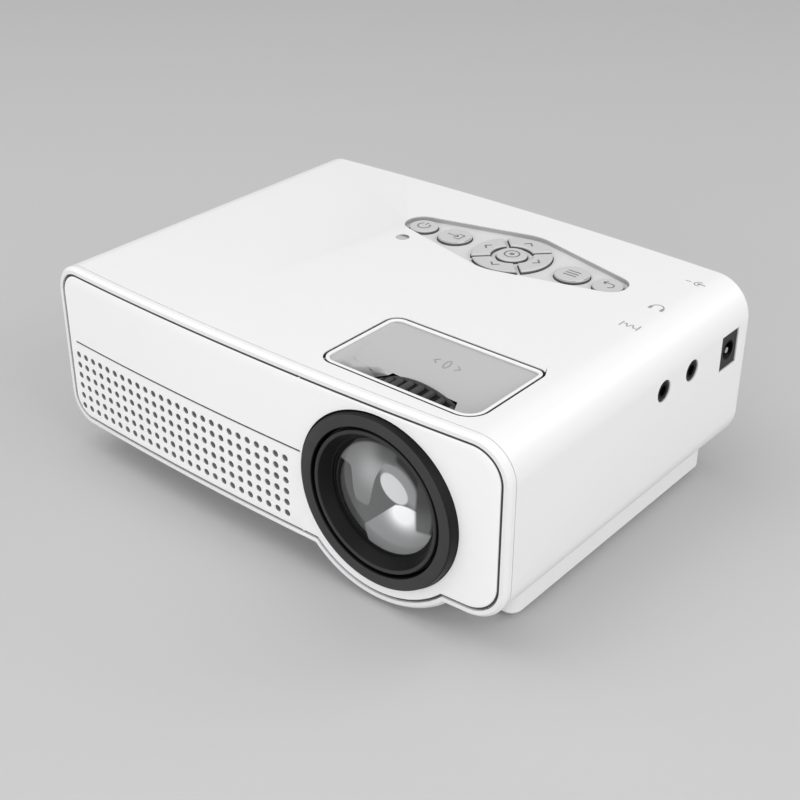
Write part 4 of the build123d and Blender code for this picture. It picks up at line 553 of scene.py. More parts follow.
def lens_painted_reflections(name, tint):
    """Coated lens with painted studio reflections: a window with a tongue, an oval, a pool of light and a
    crescent.

    u and w are millimetres right of and above the lens axis, and each part is laid over the ones before it.
    The window lies above a line with one deep bell-shaped dip, its tongue. The oval is an ellipse turned by
    37 degrees, with a wider grey glow round its upper side. The pool lies below a slope rounded off by a
    parabola.
    """
    finish = Finish(name)
    u, w, reach = about_lens(finish)
    # Every tone below is a painted reflection, laid into the base colour.
    rings = (reach * 2.9).sine().step(0.2, 0.95)
    tone = 0.012 + 0.03 * rings
    body_tone = 0.082 + 0.04 * u.step(-11.0, -5.0)
    tone = blend_in(tone, body_tone, 1 - reach.step(15.0, 16.4))

    crescent_tone = 0.05 + 0.09 * (1 - w.step(-4.0, 6.0))
    right = u.step(12.9, 14.0)
    tone = blend_in(tone, crescent_tone, right * (1 - reach.step(17.8, 18.8)))

    oval_u, oval_w = 6.0, 6.5
    along_oval = (u - oval_u) * 0.8 - (w - oval_w) * 0.6
    across_oval = (u - oval_u) * 0.6 + (w - oval_w) * 0.8
    glow = (along_oval / 8.8) ** 2 + (across_oval / 6.6) ** 2
    tone = blend_in(tone, 0.3, (1 - glow.step(0.75, 1.15)) * across_oval.step(-1.5, 2.0) * (1 - right))

    tongue_u, tongue_half, tongue_long = -5.9, 4.3, 10.6
    tongue = np.e ** ((((u - tongue_u) / tongue_half) ** 2) ** 3 * -1)
    window_low = 7.5 - tongue_long * tongue + 6.0 * u.step(-1.5, 2.5)
    bright = np.e ** (((u + 2.5) ** 2 + (w - 9) ** 2) / -30)
    window_tone = 0.21 + 0.17 * bright - 0.11 * u.step(-5.0, 1.0) * w.step(11.5, 15.0)
    in_window = (w - window_low).step(-0.4, 0.4) * (1 - reach.step(17.5, 18.3)) * (1 - u.step(4.5, 6.5))
    tone = blend_in(tone, window_tone, in_window)

    pool_top = (u - 5.3).least(2.1 - 0.05 * (u - 10) ** 2)
    in_pool = (pool_top - w).step(-0.3, 0.35) * u.step(-6.4, -5.3) * (1 - reach.step(18.6, 19.3))
    in_pool = in_pool * (1 - right * w.step(-6.4, -5.0))
    pool_tone = 0.3 + 1.1 * np.e ** (((u - 9.5) ** 2 + (w + 0.8) ** 2) / -22)
    tone = blend_in(tone, pool_tone, in_pool)

    oval = (along_oval / 5.6) ** 2 + (across_oval / 3.45) ** 2
    tone = blend_in(tone, 0.66, 1 - oval.step(0.82, 1.12))
    dust = finish.noise(1400.0, 4.0, 0.7).step(0.72, 0.84)
    finish.set(
        Base_Color=finish.mix(tone.least(1.0), (0.0, 0.0, 0.0), tint),
        Roughness=0.1 + 0.1 * dust,
        Specular_IOR_Level=0.35,
        Coat_Weight=0.3 + 0.1 * dust,
        Coat_Roughness=0.04,
    )
    return finish.material


def within(value, low, high, soft=0.1):
    """1 where a number lies between two others, and 0 outside."""
    return value.step(low - soft, low + soft) * (1 - value.step(high - soft, high + soft))


def blend_in(under, over, share):
    """The number that goes from one to the other as the share goes from 0 to 1."""
    return under + (over - under) * share


def clear_glass(name, colour):
    """Polished lens glass with a thin coating and a few specks of dust."""
    finish = Finish(name)
    dust = finish.noise(1400.0, 4.0, 0.7).step(0.7, 0.82)
    finish.set(
        Base_Color=finish.mix(dust, colour, shade(colour, 0.9)),
        Roughness=dust * 0.1 + 0.02,
        Transmission_Weight=1.0,
        IOR=1.5,
        Coat_Weight=dust * 0.1 + 0.5,
        Coat_Roughness=0.03,
    )
    return finish.material


def steel(name, colour, rough):
    """Plated steel: fine brushing and small stains in the plating."""
    finish = Finish(name)
    brushing = finish.noise(2600.0, 2.0)
    stain = finish.noise(240.0, 4.0).step(0.5, 0.8)
    finish.set(
        Base_Color=finish.mix(stain, colour, shade(colour, 0.72)),
        Metallic=1.0,
        Roughness=rough + 0.12 * brushing + 0.12 * stain,
        Normal=finish.bump(brushing, 0.000004),
    )
    return finish.material


def soft_rubber(name, colour):
    """Dull rubber with a pale bloom and a fine pitted skin."""
    finish = Finish(name)
    pits = finish.noise(1900.0, 4.0, 0.7)
    bloom = finish.noise(160.0, 3.0).step(0.4, 0.8)
    finish.set(
        Base_Color=finish.mix(bloom, colour, shade(colour, 1.7)),
        Roughness=0.75 + 0.15 * pits,
        Normal=finish.bump(pits, 0.00003),
    )
    return finish.material


def circuit_board(name, colour):
    """Solder mask over copper tracks that run in both directions, with tinned pads."""
    finish = Finish(name)
    across, along, _ = finish.axes()
    wander = finish.noise(60.0, 2.0)
    tracks = ((across + wander * 0.01) * 2600.0).sine().step(0.1, 0.5)
    crossing = ((along + wander * 0.012) * 2300.0).sine().step(0.3, 0.7)
    field = finish.noise(110.0, 1.0).step(0.45, 0.55)
    copper = tracks * field + crossing * (1 - field)
    pads = finish.noise(420.0, 0.0).step(0.72, 0.74)
    green = finish.mix(copper, shade(colour, 0.7), shade(colour, 1.3))
    finish.set(
        Base_Color=finish.mix(pads, green, (0.75, 0.74, 0.7)),
        Metallic=pads * 0.9,
        Roughness=0.35 + 0.1 * wander,
        Normal=finish.bump(copper * 0.5 + pads * 0.5, 0.00004),
    )
    return finish.material


def open_foam(name, colour):
    """Dust filter: dark foam with open pores."""
    finish = Finish(name)
    pores = finish.node(
        "ShaderNodeTexVoronoi", output="Distance", Vector=finish.place(), Scale=1500.0
    ).step(0.1, 0.6)
    finish.set(
        Base_Color=finish.mix(pores, shade(colour, 0.3), shade(colour, 1.6)),
        Roughness=0.9 - 0.1 * pores,
        Normal=finish.bump(pores, 0.0002),
    )
    return finish.material


def bare_aluminium(name, colour):
    """Extruded aluminium with die lines along the fins."""
    finish = Finish(name)
    across, along, up = finish.axes()
    lines = finish.node(
        "ShaderNodeTexNoise",
        Vector=finish.node("ShaderNodeCombineXYZ", X=across * 6000.0, Y=along * 60.0, Z=up * 60.0),
        Scale=1.0,
        Detail=2.0,
    )
    finish.set(
        Base_Color=finish.mix(lines, shade(colour, 0.85), shade(colour, 1.05)),
        Metallic=1.0,
        Roughness=0.32 + 0.15 * lines,
        Normal=finish.bump(lines, 0.00001),
    )
    return finish.material


def put_mesh(name, points, faces, material, sharp_angle=SHARP_ANGLE):
    """An object at the origin from points in millimetres and rows of corner numbers, with its edges sharp."""
    mesh = bpy.data.meshes.new(name)
    mesh.from_pydata((np.asarray(points) * MM).tolist(), [], np.asarray(faces).tolist())
    mesh.validate()
    mesh.shade_smooth()
    mesh.set_sharp_from_angle(angle=np.radians(sharp_angle))
    mesh.materials.append(material)
    made = bpy.data.objects.new(name, mesh)
    bpy.context.collection.objects.link(made)
    return made


def grid_faces(rows, columns, close_rows=False, close_columns=False):
    """Corner numbers of the four-sided faces of a grid of points, joined end to end where it closes."""
    row = np.arange(rows if close_rows else rows - 1)
    column = np.arange(columns if close_columns else columns - 1)
    r, c = np.meshgrid(row, column, indexing="ij")
    next_r = (r + 1) % rows
    next_c = (c + 1) % columns
    corners = (r * columns + c, r * columns + next_c, next_r * columns + next_c, next_r * columns + c)
    return np.stack(corners, axis=-1).reshape(-1, 4)


def gather(patches):
    """One list of points and faces from several (points, faces) patches."""
    points, faces, start = [], [], 0
    for patch_points, patch_faces in patches:
        flat = np.asarray(patch_points).reshape(-1, 3)
        points.append(flat)
        faces.append(patch_faces + start)
        start += len(flat)
    return np.concatenate(points), np.concatenate(faces)


def turned(profile, turns, swell=None):
    """A closed profile of (y, radius) pairs carried round the lens axis: x = R cos t, z = R sin t about it.

    swell, where given, adds millimetres to the radius as a function of the turn and the profile's point.
    """
    section = np.asarray(profile, float)
    turn = np.arange(turns) * FULL_TURN / turns
    radius = np.broadcast_to(section[None, :, 1], (turns, len(section))).copy()
    if swell is not None:
        radius = radius + swell(turn[:, None], np.arange(len(section))[None, :])
    x = LENS_X + radius * np.cos(turn)[:, None]
    z = LENS_Z + radius * np.sin(turn)[:, None]
    y = np.broadcast_to(section[None, :, 0], x.shape)
    points = np.stack([x, y, z], axis=-1)
    return points.reshape(-1, 3), grid_faces(turns, len(section), close_rows=True, close_columns=True)


@contextmanager
def edited(mesh):
    """A mesh's corners, edges and faces, open for changes that are written back at the end."""
    form = bmesh.new()
    form.from_mesh(mesh)
    yield form
    form.to_mesh(mesh)
    form.free()


def facing_out(obj):
    """Merges an object's seams, turns its faces outwards and keeps its edges sharp."""
    with edited(obj.data) as form:
        bmesh.ops.remove_doubles(form, verts=form.verts, dist=1e-7)
        bmesh.ops.recalc_face_normals(form, faces=form.faces)
    obj.data.set_sharp_from_angle(angle=np.radians(SHARP_ANGLE))
    return obj


def facing_front(obj):
    """Merges an open sheet's seams, turns its face towards the front and keeps its edges sharp."""
    with edited(obj.data) as form:
        bmesh.ops.remove_doubles(form, verts=form.verts, dist=2e-6)
        bmesh.ops.dissolve_degenerate(form, edges=form.edges, dist=1e-7)
        bmesh.ops.recalc_face_normals(form, faces=form.faces)
        largest = max(form.faces, key=lambda face: face.calc_area())
        if largest.normal.y > 0:
            bmesh.ops.reverse_faces(form, faces=form.faces)
    obj.data.set_sharp_from_angle(angle=np.radians(SHARP_ANGLE))


def facing_up(obj):
    """Turns round each of a sheet's faces that looks down, without merging its corners."""
    with edited(obj.data) as form:
        wrong = [face for face in form.faces if face.normal.z < -0.02]
        bmesh.ops.reverse_faces(form, faces=wrong)


def mark(obj, name, values):
    """Keeps one number for each point of a mesh under a name that a material can read."""
    layer = obj.data.attributes.new(name, "FLOAT", "POINT")
    layer.data.foreach_set("value", np.asarray(values, np.float32))


def rounded_copy(node, material, width, corners=()):
    """A CAD node's copy with its triangles merged into clean faces and its edges rounded.

    Each of the corners is the x, y and radius in millimetres of an upright edge that gets a larger rounding.
    """
    mesh = frame["nodes"][node].data.copy()
    with edited(mesh) as form:
        bmesh.ops.remove_doubles(form, verts=form.verts, dist=1e-6)
        bmesh.ops.dissolve_limit(form, angle_limit=np.radians(0.4), verts=form.verts, edges=form.edges)
        for x, y, radius in corners:
            edges = [edge for edge in form.edges if upright_at(edge, x, y)]
            bmesh.ops.bevel(
                form, geom=edges, offset=radius * MM, offset_type="OFFSET", segments=10, profile=0.5,
                affect="EDGES", clamp_overlap=False,
            )
    mesh.name = node + "_finished"
    mesh.materials.clear()
    mesh.materials.append(material)
    mesh.shade_smooth()
    mesh.set_sharp_from_angle(angle=np.radians(ROUNDED_ANGLE))
    made = bpy.data.objects.new(node + "_finished", mesh)
    bpy.context.collection.objects.link(made)
    rounding = made.modifiers.new("edges", "BEVEL")
    rounding.width = width
    rounding.segments = 2
    rounding.limit_method = "ANGLE"
    rounding.angle_limit = np.radians(ROUNDED_ANGLE)
    rounding.use_clamp_overlap = True
    rounding.harden_normals = True
    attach(made, body_name(node))
    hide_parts(node)
    return made


def upright_at(edge, x, y):
    """Whether an edge stands upright at a place in plan, given in millimetres."""
    first, last = (np.array(corner.co) / MM for corner in edge.verts)
    upright = np.hypot(*(first - last)[:2]) < 0.01
    return upright and np.hypot(first[0] - x, first[1] - y) < 0.05


def body_name(node):
    """The body that carries a node."""
    return next(name for name, nodes in frame["record"]["behaviour"]["bodies"].items() if node in nodes)


def bow_y(x, settings):
    """Y of the bowed front at x: a parabola that lies the bow behind the middle at the case's sides."""
    return FRONT_Y + settings.bow / MM * (np.asarray(x) / HALF_W) ** 2


def corner_height(x, inset):
    """How far the panel's upper or lower edge, moved in by an inset, draws in near its left corner at x.

    That is the corner's radius less the height of its circle at x.
    """
    radius = LEFT_CORNER_R - inset
    centre = PANEL_LEFT + LEFT_CORNER_R
    out = np.clip(centre - np.asarray(x), 0, radius)
    return radius - np.sqrt(radius ** 2 - out ** 2)


def face_top(x):
    """Height of the upper edge of the panel's face at x, inside the rounded edge."""
    return PANEL_TOP - PANEL_EDGE_R - corner_height(x, PANEL_EDGE_R)


def face_low(x):
    """Height of the lower edge of the panel's face at x, inside the rounded edge."""
    return PANEL_LOW + PANEL_EDGE_R + corner_height(x, PANEL_EDGE_R)


def edge_rings():
    """Inset and depth of each line along the panel's edge: a quarter round, then the step in the gap."""
    turn = np.linspace(0, np.pi / 2, 5)
    inset = PANEL_EDGE_R * (1 - np.sin(turn))
    deep = PANEL_EDGE_R * (1 - np.cos(turn))
    # The step is a narrow flange in the gap behind the edge; the panel's finish paints it with shade.
    step_deep = PANEL_EDGE_R + GAP_DEEP
    return np.append(inset, [0.0, -GAP_REACH]), np.append(deep, [step_deep, step_deep + 0.05])


def lens_side_patch(settings):
    """The panel right of the grille block: straight rays from the lens seat to the panel's outline.

    A ray's length is the least distance to the left line, the top, the right side, the lower edge and the
    rounded corners, but below the axis at least the chin's radius, where the left line isn't nearer. Along
    each ray lie the seat's wall, five even steps over the face, and the rounded edge, which the left line
    doesn't have.
    """
    turn = np.sort(np.concatenate([np.linspace(0, FULL_TURN, 240, endpoint=False), corner_turns()]))
    inset, deep = edge_rings()
    rows = [np.full_like(turn, SEAT_R), np.full_like(turn, SEAT_R)]
    depths = [SEAT_DEPTH, 0.0]
    face_reach = outline_reach(turn, PANEL_EDGE_R)
    for share in np.linspace(0, 1, 7)[1:-1]:
        rows.append(SEAT_R + (np.maximum(face_reach, SEAT_R) - SEAT_R) * share)
        depths.append(0.0)
    for ring_inset, ring_deep in zip(inset, deep):
        rows.append(np.maximum(outline_reach(turn, ring_inset), SEAT_R))
        depths.append(ring_deep)
    reach = np.stack(rows, axis=1)
    x = LENS_X + reach * np.cos(turn)[:, None]
    z = LENS_Z + reach * np.sin(turn)[:, None]
    on_left = np.abs(x - BLOCK_RIGHT) < 1e-6
    past_seat = np.arange(len(depths)) > 1
    y = bow_y(x, settings) + np.where(on_left & past_seat, 0.0, depths)
    points = np.stack([x, y, z], axis=-1)
    return points, grid_faces(len(turn), reach.shape[1], close_rows=True)


def corner_turns():
    """Angles at which the outline turns a corner, as seen from the lens axis."""
    chin_half = np.sqrt(CHIN_R ** 2 - (LENS_Z - PANEL_LOW) ** 2)
    corners = [
        (BLOCK_RIGHT, PANEL_TOP),
        (BLOCK_RIGHT, PANEL_LOW),
        (LENS_X - chin_half, PANEL_LOW),
        (LENS_X + chin_half, PANEL_LOW),
    ]
    return np.array([np.arctan2(z - LENS_Z, x - LENS_X) % FULL_TURN for x, z in corners])


def outline_reach(turn, inset):
    """Distance from the lens axis to the panel's outline along each ray, with the outline moved in.

    A straight side at distance d is met at d over the ray's cosine or sine towards it. A rounded corner is
    met at the far crossing of the ray with its circle, and the chin at its radius.
    """
    cosine = np.cos(turn)
    sine = np.sin(turn)
    far = 1e6
    left = np.where(cosine < -1e-9, (BLOCK_RIGHT - LENS_X) / np.minimum(cosine, -1e-9), far)
    right = np.where(cosine > 1e-9, (PANEL_RIGHT - inset - LENS_X) / np.maximum(cosine, 1e-9), far)
    top = np.where(sine > 1e-9, (PANEL_TOP - inset - LENS_Z) / np.maximum(sine, 1e-9), far)
    low = np.where(sine < -1e-9, (PANEL_LOW + inset - LENS_Z) / np.minimum(sine, -1e-9), far)
    reach = np.minimum(np.minimum(left, right), np.minimum(top, low))
    for centre_z in (PANEL_TOP - RIGHT_CORNER_R, PANEL_LOW + RIGHT_CORNER_R):
        dx = PANEL_RIGHT - RIGHT_CORNER_R - LENS_X
        dz = centre_z - LENS_Z
        along = dx * cosine + dz * sine
        off = np.maximum((RIGHT_CORNER_R - inset) ** 2 - (dx ** 2 + dz ** 2 - along ** 2), 0)
        crossing = along + np.sqrt(off)
        x = reach * cosine
        z = reach * sine
        in_corner = (x > dx) & ((z - dz) * np.sign(dz) > 0)
        reach = np.where(in_corner, crossing, reach)
    return np.where(sine < 0, np.maximum(reach, np.where(left < CHIN_R - inset, left, CHIN_R - inset)), reach)


def strip_patch(x, low, high, steps, settings):
    """A strip of the bowed face: columns at x, in even steps from the low edge to the high one."""
    share = np.linspace(0, 1, steps)[None, :]
    low = np.broadcast_to(low, x.shape)[:, None]
    high = np.broadcast_to(high, x.shape)[:, None]
    z = low + (high - low) * share
    grid_x = np.broadcast_to(x[:, None], z.shape)
    points = np.stack([grid_x, bow_y(grid_x, settings), z], axis=-1)
    return points, grid_faces(len(x), steps)


def edge_strip(x, upper, settings):
    """The rounded upper or lower edge of the panel's left part, for points x on its face.

    In the corner, a line with a smaller inset lies further from the corner's middle in the same direction.
    """
    inset, deep = edge_rings()
    side = 1 if upper else -1
    edge_z = PANEL_TOP if upper else PANEL_LOW
    centre = PANEL_LEFT + LEFT_CORNER_R
    columns = []
    for ring_inset, ring_deep in zip(inset, deep):
        spread = (LEFT_CORNER_R - ring_inset) / (LEFT_CORNER_R - PANEL_EDGE_R)
        ring_x = np.where(x < centre, centre - (centre - x) * spread, x)
        drop = corner_height(ring_x, ring_inset)
        z = edge_z - side * (ring_inset + drop)
        columns.append(np.stack([ring_x, bow_y(ring_x, settings) + ring_deep, z], axis=-1))
    points = np.stack(columns, axis=1)
    return points, grid_faces(len(x), len(inset))


def side_edge(settings):
    """The panel's rounded left edge between its two corners: the edge's lines, carried straight up."""
    inset, deep = edge_rings()
    z = np.linspace(PANEL_LOW + LEFT_CORNER_R, PANEL_TOP - LEFT_CORNER_R, 8)
    columns = []
    for ring_inset, ring_deep in zip(inset, deep):
        x = np.full_like(z, PANEL_LEFT + ring_inset)
        columns.append(np.stack([x, bow_y(x, settings) + ring_deep, z], axis=-1))
    return np.stack(columns, axis=1), grid_faces(len(z), len(inset))


def cell_patches(grille, settings):
    """Every grille cell: rings of points from the cell's square outline to its round hole and down its wall.

    A square ring and a round ring have as many points, and each point keeps its turn about the hole.
    """
    along = np.linspace(-1, 1, CELL_SIDE, endpoint=False)
    ones = np.ones(CELL_SIDE)
    square_x = np.concatenate([along, ones, -along, -ones])
    square_z = np.concatenate([-ones, along, ones, -along])
    turn = np.arctan2(square_z, square_x)
    pitch = grille.pitch / MM
    radius = grille.radius / MM
    column = np.arange(grille.columns)
    row = np.arange(grille.rows)
    middle_x = GRILLE_X + (column - (grille.columns - 1) / 2) * pitch
    middle_z = GRILLE_Z + (row - (grille.rows - 1) / 2) * pitch
    half = pitch / 2
    left = np.where(column == 0, GRILLE_MARGIN, half)
    right = np.where(column == grille.columns - 1, GRILLE_MARGIN, half)
    low = np.where(row == 0, GRILLE_MARGIN, half)
    high = np.where(row == grille.rows - 1, GRILLE_MARGIN, half)
    reach_x = np.where(square_x < 0, left[:, None], right[:, None]) * square_x
    reach_z = np.where(square_z < 0, low[:, None], high[:, None]) * square_z
    rings_x = [np.broadcast_to(reach_x[:, None, :], (grille.columns, grille.rows, len(turn)))]
    rings_z = [np.broadcast_to(reach_z[None, :, :], (grille.columns, grille.rows, len(turn)))]
    depths = [0.0]
    for ring_r, deep in ((radius + HOLE_EDGE, 0.0), (radius, HOLE_EDGE), (radius, HOLE_DEEP)):
        rings_x.append(np.broadcast_to(ring_r * np.cos(turn), rings_x[0].shape))
        rings_z.append(np.broadcast_to(ring_r * np.sin(turn), rings_z[0].shape))
        depths.append(deep)
    x = middle_x[:, None, None, None] + np.stack(rings_x, axis=2)
    z = middle_z[None, :, None, None] + np.stack(rings_z, axis=2)
    y = bow_y(x, settings) + np.array(depths)[None, None, :, None]
    points = np.stack([x, y, z], axis=-1)
    count = grille.columns * grille.rows
    one = grid_faces(len(depths), len(turn), close_columns=True)
    offsets = np.arange(count)[:, None, None] * len(depths) * len(turn)
    faces = (one[None, :, :] + offsets).reshape(-1, 4)
    return points.reshape(-1, 3), faces


def block_columns(grille):
    """X of the columns that the strips beside the grille share with its cells."""
    pitch = grille.pitch / MM
    first = GRILLE_X - (grille.columns - 1) / 2 * pitch
    edges = first + (np.arange(grille.columns + 1) - 0.5) * pitch
    edges[0] = first - GRILLE_MARGIN
    edges[-1] = first + (grille.columns - 1) * pitch + GRILLE_MARGIN
    middles = first + np.arange(grille.columns) * pitch
    share = np.linspace(-1, 1, CELL_SIDE, endpoint=False)
    left = middles - edges[:-1]
    right = edges[1:] - middles
    inner = middles[:, None] + np.where(share < 0, left[:, None], right[:, None]) * share
    return np.append(inner.ravel(), edges[-1])


def groove_patch(x, settings):
    """The thin line pressed into the panel above the grille: down one wall, along the floor, up the other."""
    steps_z = np.array([-1, -1, 1, 1]) * LINE_HALF + LINE_Z
    steps_deep = np.array([0, 1, 1, 0]) * LINE_DEEP
    z = np.broadcast_to(steps_z, (len(x), 4))
    grid_x = np.broadcast_to(x[:, None], z.shape)
    points = np.stack([grid_x, bow_y(grid_x, settings) + steps_deep, z], axis=-1)
    return points, grid_faces(len(x), 4)


class PROJECTOR_OT_front_panel(bpy.types.Operator):
    """Adds the bowed front panel with its round grille holes and the line above them"""

    bl_idname = "projector.front_panel"
    bl_label = "Front panel"

    def execute(self, context):
        grille = context.scene.projector_grille
        settings = context.scene.projector_case
        columns = block_columns(grille)
        grille_left = columns[0]
        grille_right = columns[-1]
        half_high = (grille.rows - 1) / 2 * grille.pitch / MM + GRILLE_MARGIN
        grille_low = GRILLE_Z - half_high
        grille_high = GRILLE_Z + half_high
        corner_x = PANEL_LEFT + LEFT_CORNER_R * (1 - np.cos(np.linspace(0, np.pi / 2, 9)))
        shrink = (LEFT_CORNER_R - PANEL_EDGE_R) / LEFT_CORNER_R
        face_corner_x = PANEL_LEFT + LEFT_CORNER_R - (PANEL_LEFT + LEFT_CORNER_R - corner_x) * shrink
        right_x = np.linspace(grille_right, BLOCK_RIGHT, 4)
        beside_x = face_corner_x[face_corner_x < grille_left]
        left_x = np.append(beside_x, grille_left)
        all_x = np.unique(np.concatenate([beside_x, columns, right_x]))
        over_line = all_x >= LINE_LEFT
        line_x = all_x[over_line]
        before_x = np.append(all_x[~over_line], line_x[0])
        patches = [
            lens_side_patch(settings),
            cell_patches(grille, settings),
            strip_patch(columns, grille_high, LINE_Z - LINE_HALF, 3, settings),
            strip_patch(columns, face_low(columns), grille_low, 3, settings),
            strip_patch(right_x, face_low(right_x), LINE_Z - LINE_HALF, 6, settings),
            strip_patch(line_x, LINE_Z + LINE_HALF, face_top(line_x), 8, settings),
            groove_patch(line_x, settings),
            edge_strip(all_x, True, settings),
            edge_strip(all_x, False, settings),
            side_edge(settings),
            strip_patch(before_x, LINE_Z - LINE_HALF, face_top(before_x), 8, settings),
            strip_patch(left_x, face_low(left_x), LINE_Z - LINE_HALF, 8, settings),
        ]
        points, faces = gather(patches)
        panel = put_mesh("panel_face", points, faces, self.finish(settings), PANEL_ANGLE)
        facing_front(panel)
        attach(panel, "case")
        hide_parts("front_panel")
        return {"FINISHED"}

    def finish(self, settings):
        """The case's white gloss, with painted shade behind the face: grey in the holes, a darker line and
        gap.
        """
        finish = Finish("panel_white")
        x, y, z = finish.axes_mm()
        deep = y - (FRONT_Y + settings.bow / MM * (x / HALF_W) ** 2)
        shaded = deep.step(0.2, 0.5)
        flow, grain = gloss_marks(finish)
        # Painted light: the panel's white is made lighter than the case's.
        white = finish.mix(flow, shade(settings.white, 1.14), shade(settings.white, 1.10))
        # Painted shade behind the face: grey in the holes, the gap colour in the line and round the edge.
        holes = within(x, PANEL_LEFT + 2, BLOCK_RIGHT - 2) * within(z, PANEL_LOW + 2, LINE_Z - 1.5)
        hollow_shade = finish.mix(holes, settings.gap, (0.34, 0.34, 0.34))
        finish.set(
            Base_Color=finish.mix(shaded, white, hollow_shade),
            Roughness=0.36 + 0.08 * flow + 0.3 * shaded,
            Coat_Weight=0.08 - 0.08 * shaded,
            Normal=finish.bump(grain, GLOSS_RELIEF),
        )
        return finish.material


class PROJECTOR_OT_lens(bpy.types.Operator):
    """Adds the trim ring, the barrel with its stepped mouth and the domed front glass"""

    bl_idname = "projector.lens"
    bl_label = "Lens"

    def execute(self, context):
        look = context.scene.projector_lens
        trim = look.trim
        dark = look.barrel
        # dark is painted shade off each ring's face: on walls and bores, and in the barrel's mouth.
        self.trim_ring(turned_with_painted_shade("trim_satin", trim, dark, TRIM_BORE + 0.2, TRIM_FACE_R - 0.3))
        self.barrel(turned_with_painted_shade("barrel_satin", shade(trim, 0.9), dark, LIP_INNER_R, LIP_R, 0.5))
        self.glass(lens_painted_reflections("lens_coated", look.coating))
        return {"FINISHED"}

    def trim_ring(self, material):
        """Face, rounded edges, flared side, back and bore, turned about the lens axis."""
        turn = np.linspace(0, np.pi / 2, 6)
        outer_y = RING_FACE_Y + TRIM_EDGE_R * (1 - np.sin(turn))
        outer_r = TRIM_FACE_R - TRIM_EDGE_R * (1 - np.cos(turn))
        inner_y = RING_FACE_Y + BORE_EDGE_R * (1 - np.cos(turn))
        inner_r = TRIM_BORE + BORE_EDGE_R * (1 - np.sin(turn))
        seat_y = FRONT_Y + SEAT_DEPTH
        profile = [*zip(outer_y[::-1], outer_r[::-1])]
        profile += [(seat_y, RING_BASE_R), (seat_y, TRIM_SEAT_BORE), (RING_BACK_Y, TRIM_SEAT_BORE)]
        profile += [(RING_BACK_Y, TRIM_BORE)]
        profile += [*zip(inner_y[::-1], inner_r[::-1])]
        points, faces = turned(profile, TRIM_STEPS)
        ring = facing_out(put_mesh("trim_ring_face", points, faces, material))
        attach(ring, "case")
        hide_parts("lens_trim_ring")

    def barrel(self, material):
        """Lip, mouth that narrows to the glass, bores, end and outside, turned about the lens axis."""
        front = barrel_low[1] / MM
        end = barrel_high[1] / MM
        outside = (barrel_high[0] - barrel_low[0]) / 2 / MM
        glass_bore = DOME_R + DOME_SLIP
        profile = [(front + LIP_DEEP, outside), (front + LIP_DEEP, LIP_R)]
        profile += [(front + LIP_EDGE, LIP_R), (front, LIP_R - LIP_EDGE), (front, LIP_INNER_R + 0.35)]
        profile += [(front + 0.12, LIP_INNER_R + 0.1), (front + 0.4, LIP_INNER_R - 0.1)]
        profile += [(DOME_RIM_Y - 0.9, MOUTH_END_R), (DOME_RIM_Y - 0.8, MOUTH_END_R - 0.5)]
        profile += [(DOME_RIM_Y - 0.1, glass_bore + 0.3), (DOME_RIM_Y, glass_bore)]
        profile += [(GLASS_SEAT_Y, glass_bore), (GLASS_SEAT_Y, BARREL_BORE)]
        profile += [(end - BARREL_END_LONG, BARREL_BORE)]
        profile += [(end - BARREL_END_LONG, BARREL_END_BORE), (end, BARREL_END_BORE), (end, outside)]
        points, faces = turned(profile, BARREL_STEPS)
        barrel = facing_out(put_mesh("barrel_mouth", points, faces, material))
        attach(barrel, "lens_barrel")
        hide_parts("lens_barrel")

    def glass(self, material):
        """Dome, rim and flat back: the dome is an arc from the rim's face to the tip on the axis."""
        back = glass_high[1] / MM
        ball = (DOME_R ** 2 + DOME_RISE ** 2) / (2 * DOME_RISE)
        radius = np.linspace(AXIS_R, DOME_R, 18)
        dome_y = DOME_RIM_Y - DOME_RISE + ball - np.sqrt(ball ** 2 - radius ** 2)
        profile = [*zip(dome_y, radius), (back, DOME_R), (back, AXIS_R)]
        points, faces = turned(profile, GLASS_STEPS)
        glass = facing_out(put_mesh("front_glass", points, faces, material))
        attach(glass, "lens_barrel")
        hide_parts("front_lens")


class PROJECTOR_OT_focus_ring(bpy.types.Operator):
    """Adds the ribbed focus ring with a plain rim on each side"""

    bl_idname = "projector.focus_ring"
    bl_label = "Focus ring"

    def execute(self, context):
        look = context.scene.projector_lens
        groove_r = FOCUS_R - FOCUS_GROOVE
        side = [(0.0, groove_r), (0.2, FOCUS_R - 0.25), (0.9, FOCUS_R - 0.2), (1.3, groove_r), (1.7, FOCUS_R)]
        profile = [(FOCUS_FRONT + deep, radius) for deep, radius in side]
        profile += [(FOCUS_BACK - deep, radius) for deep, radius in reversed(side)]
        profile += [(FOCUS_BACK, FOCUS_BORE), (FOCUS_FRONT, FOCUS_BORE)]
        ribbed = np.isin(np.arange(len(profile)), (len(side) - 1, len(side)))

        def ribs_swell(turn, place):
            """Flat-topped ribs: a clipped cosine of the turn, on the middle of the ring alone."""
            wave = np.clip(np.cos(turn * FOCUS_RIBS) * 3.0, -1, 1)
            return np.where(ribbed[place], (wave - 1) * RIB_DEEP / 2, 0.0)

        points, faces = turned(profile, FOCUS_RIBS * RIB_STEPS, ribs_swell)
        grey = shade(look.trim, 1.35)
        dark = look.barrel
        # dark is painted shade in the gaps between the ribs, in the side grooves and on the bore.
        material = turned_with_painted_shade("focus_ribs", grey, dark, FOCUS_R - 0.75, FOCUS_R + 1.0, 0.45)
        ring = facing_out(put_mesh("focus_grip", points, faces, material))
        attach(ring, "focus_ring")
        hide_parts("focus_ring")
        return {"FINISHED"}


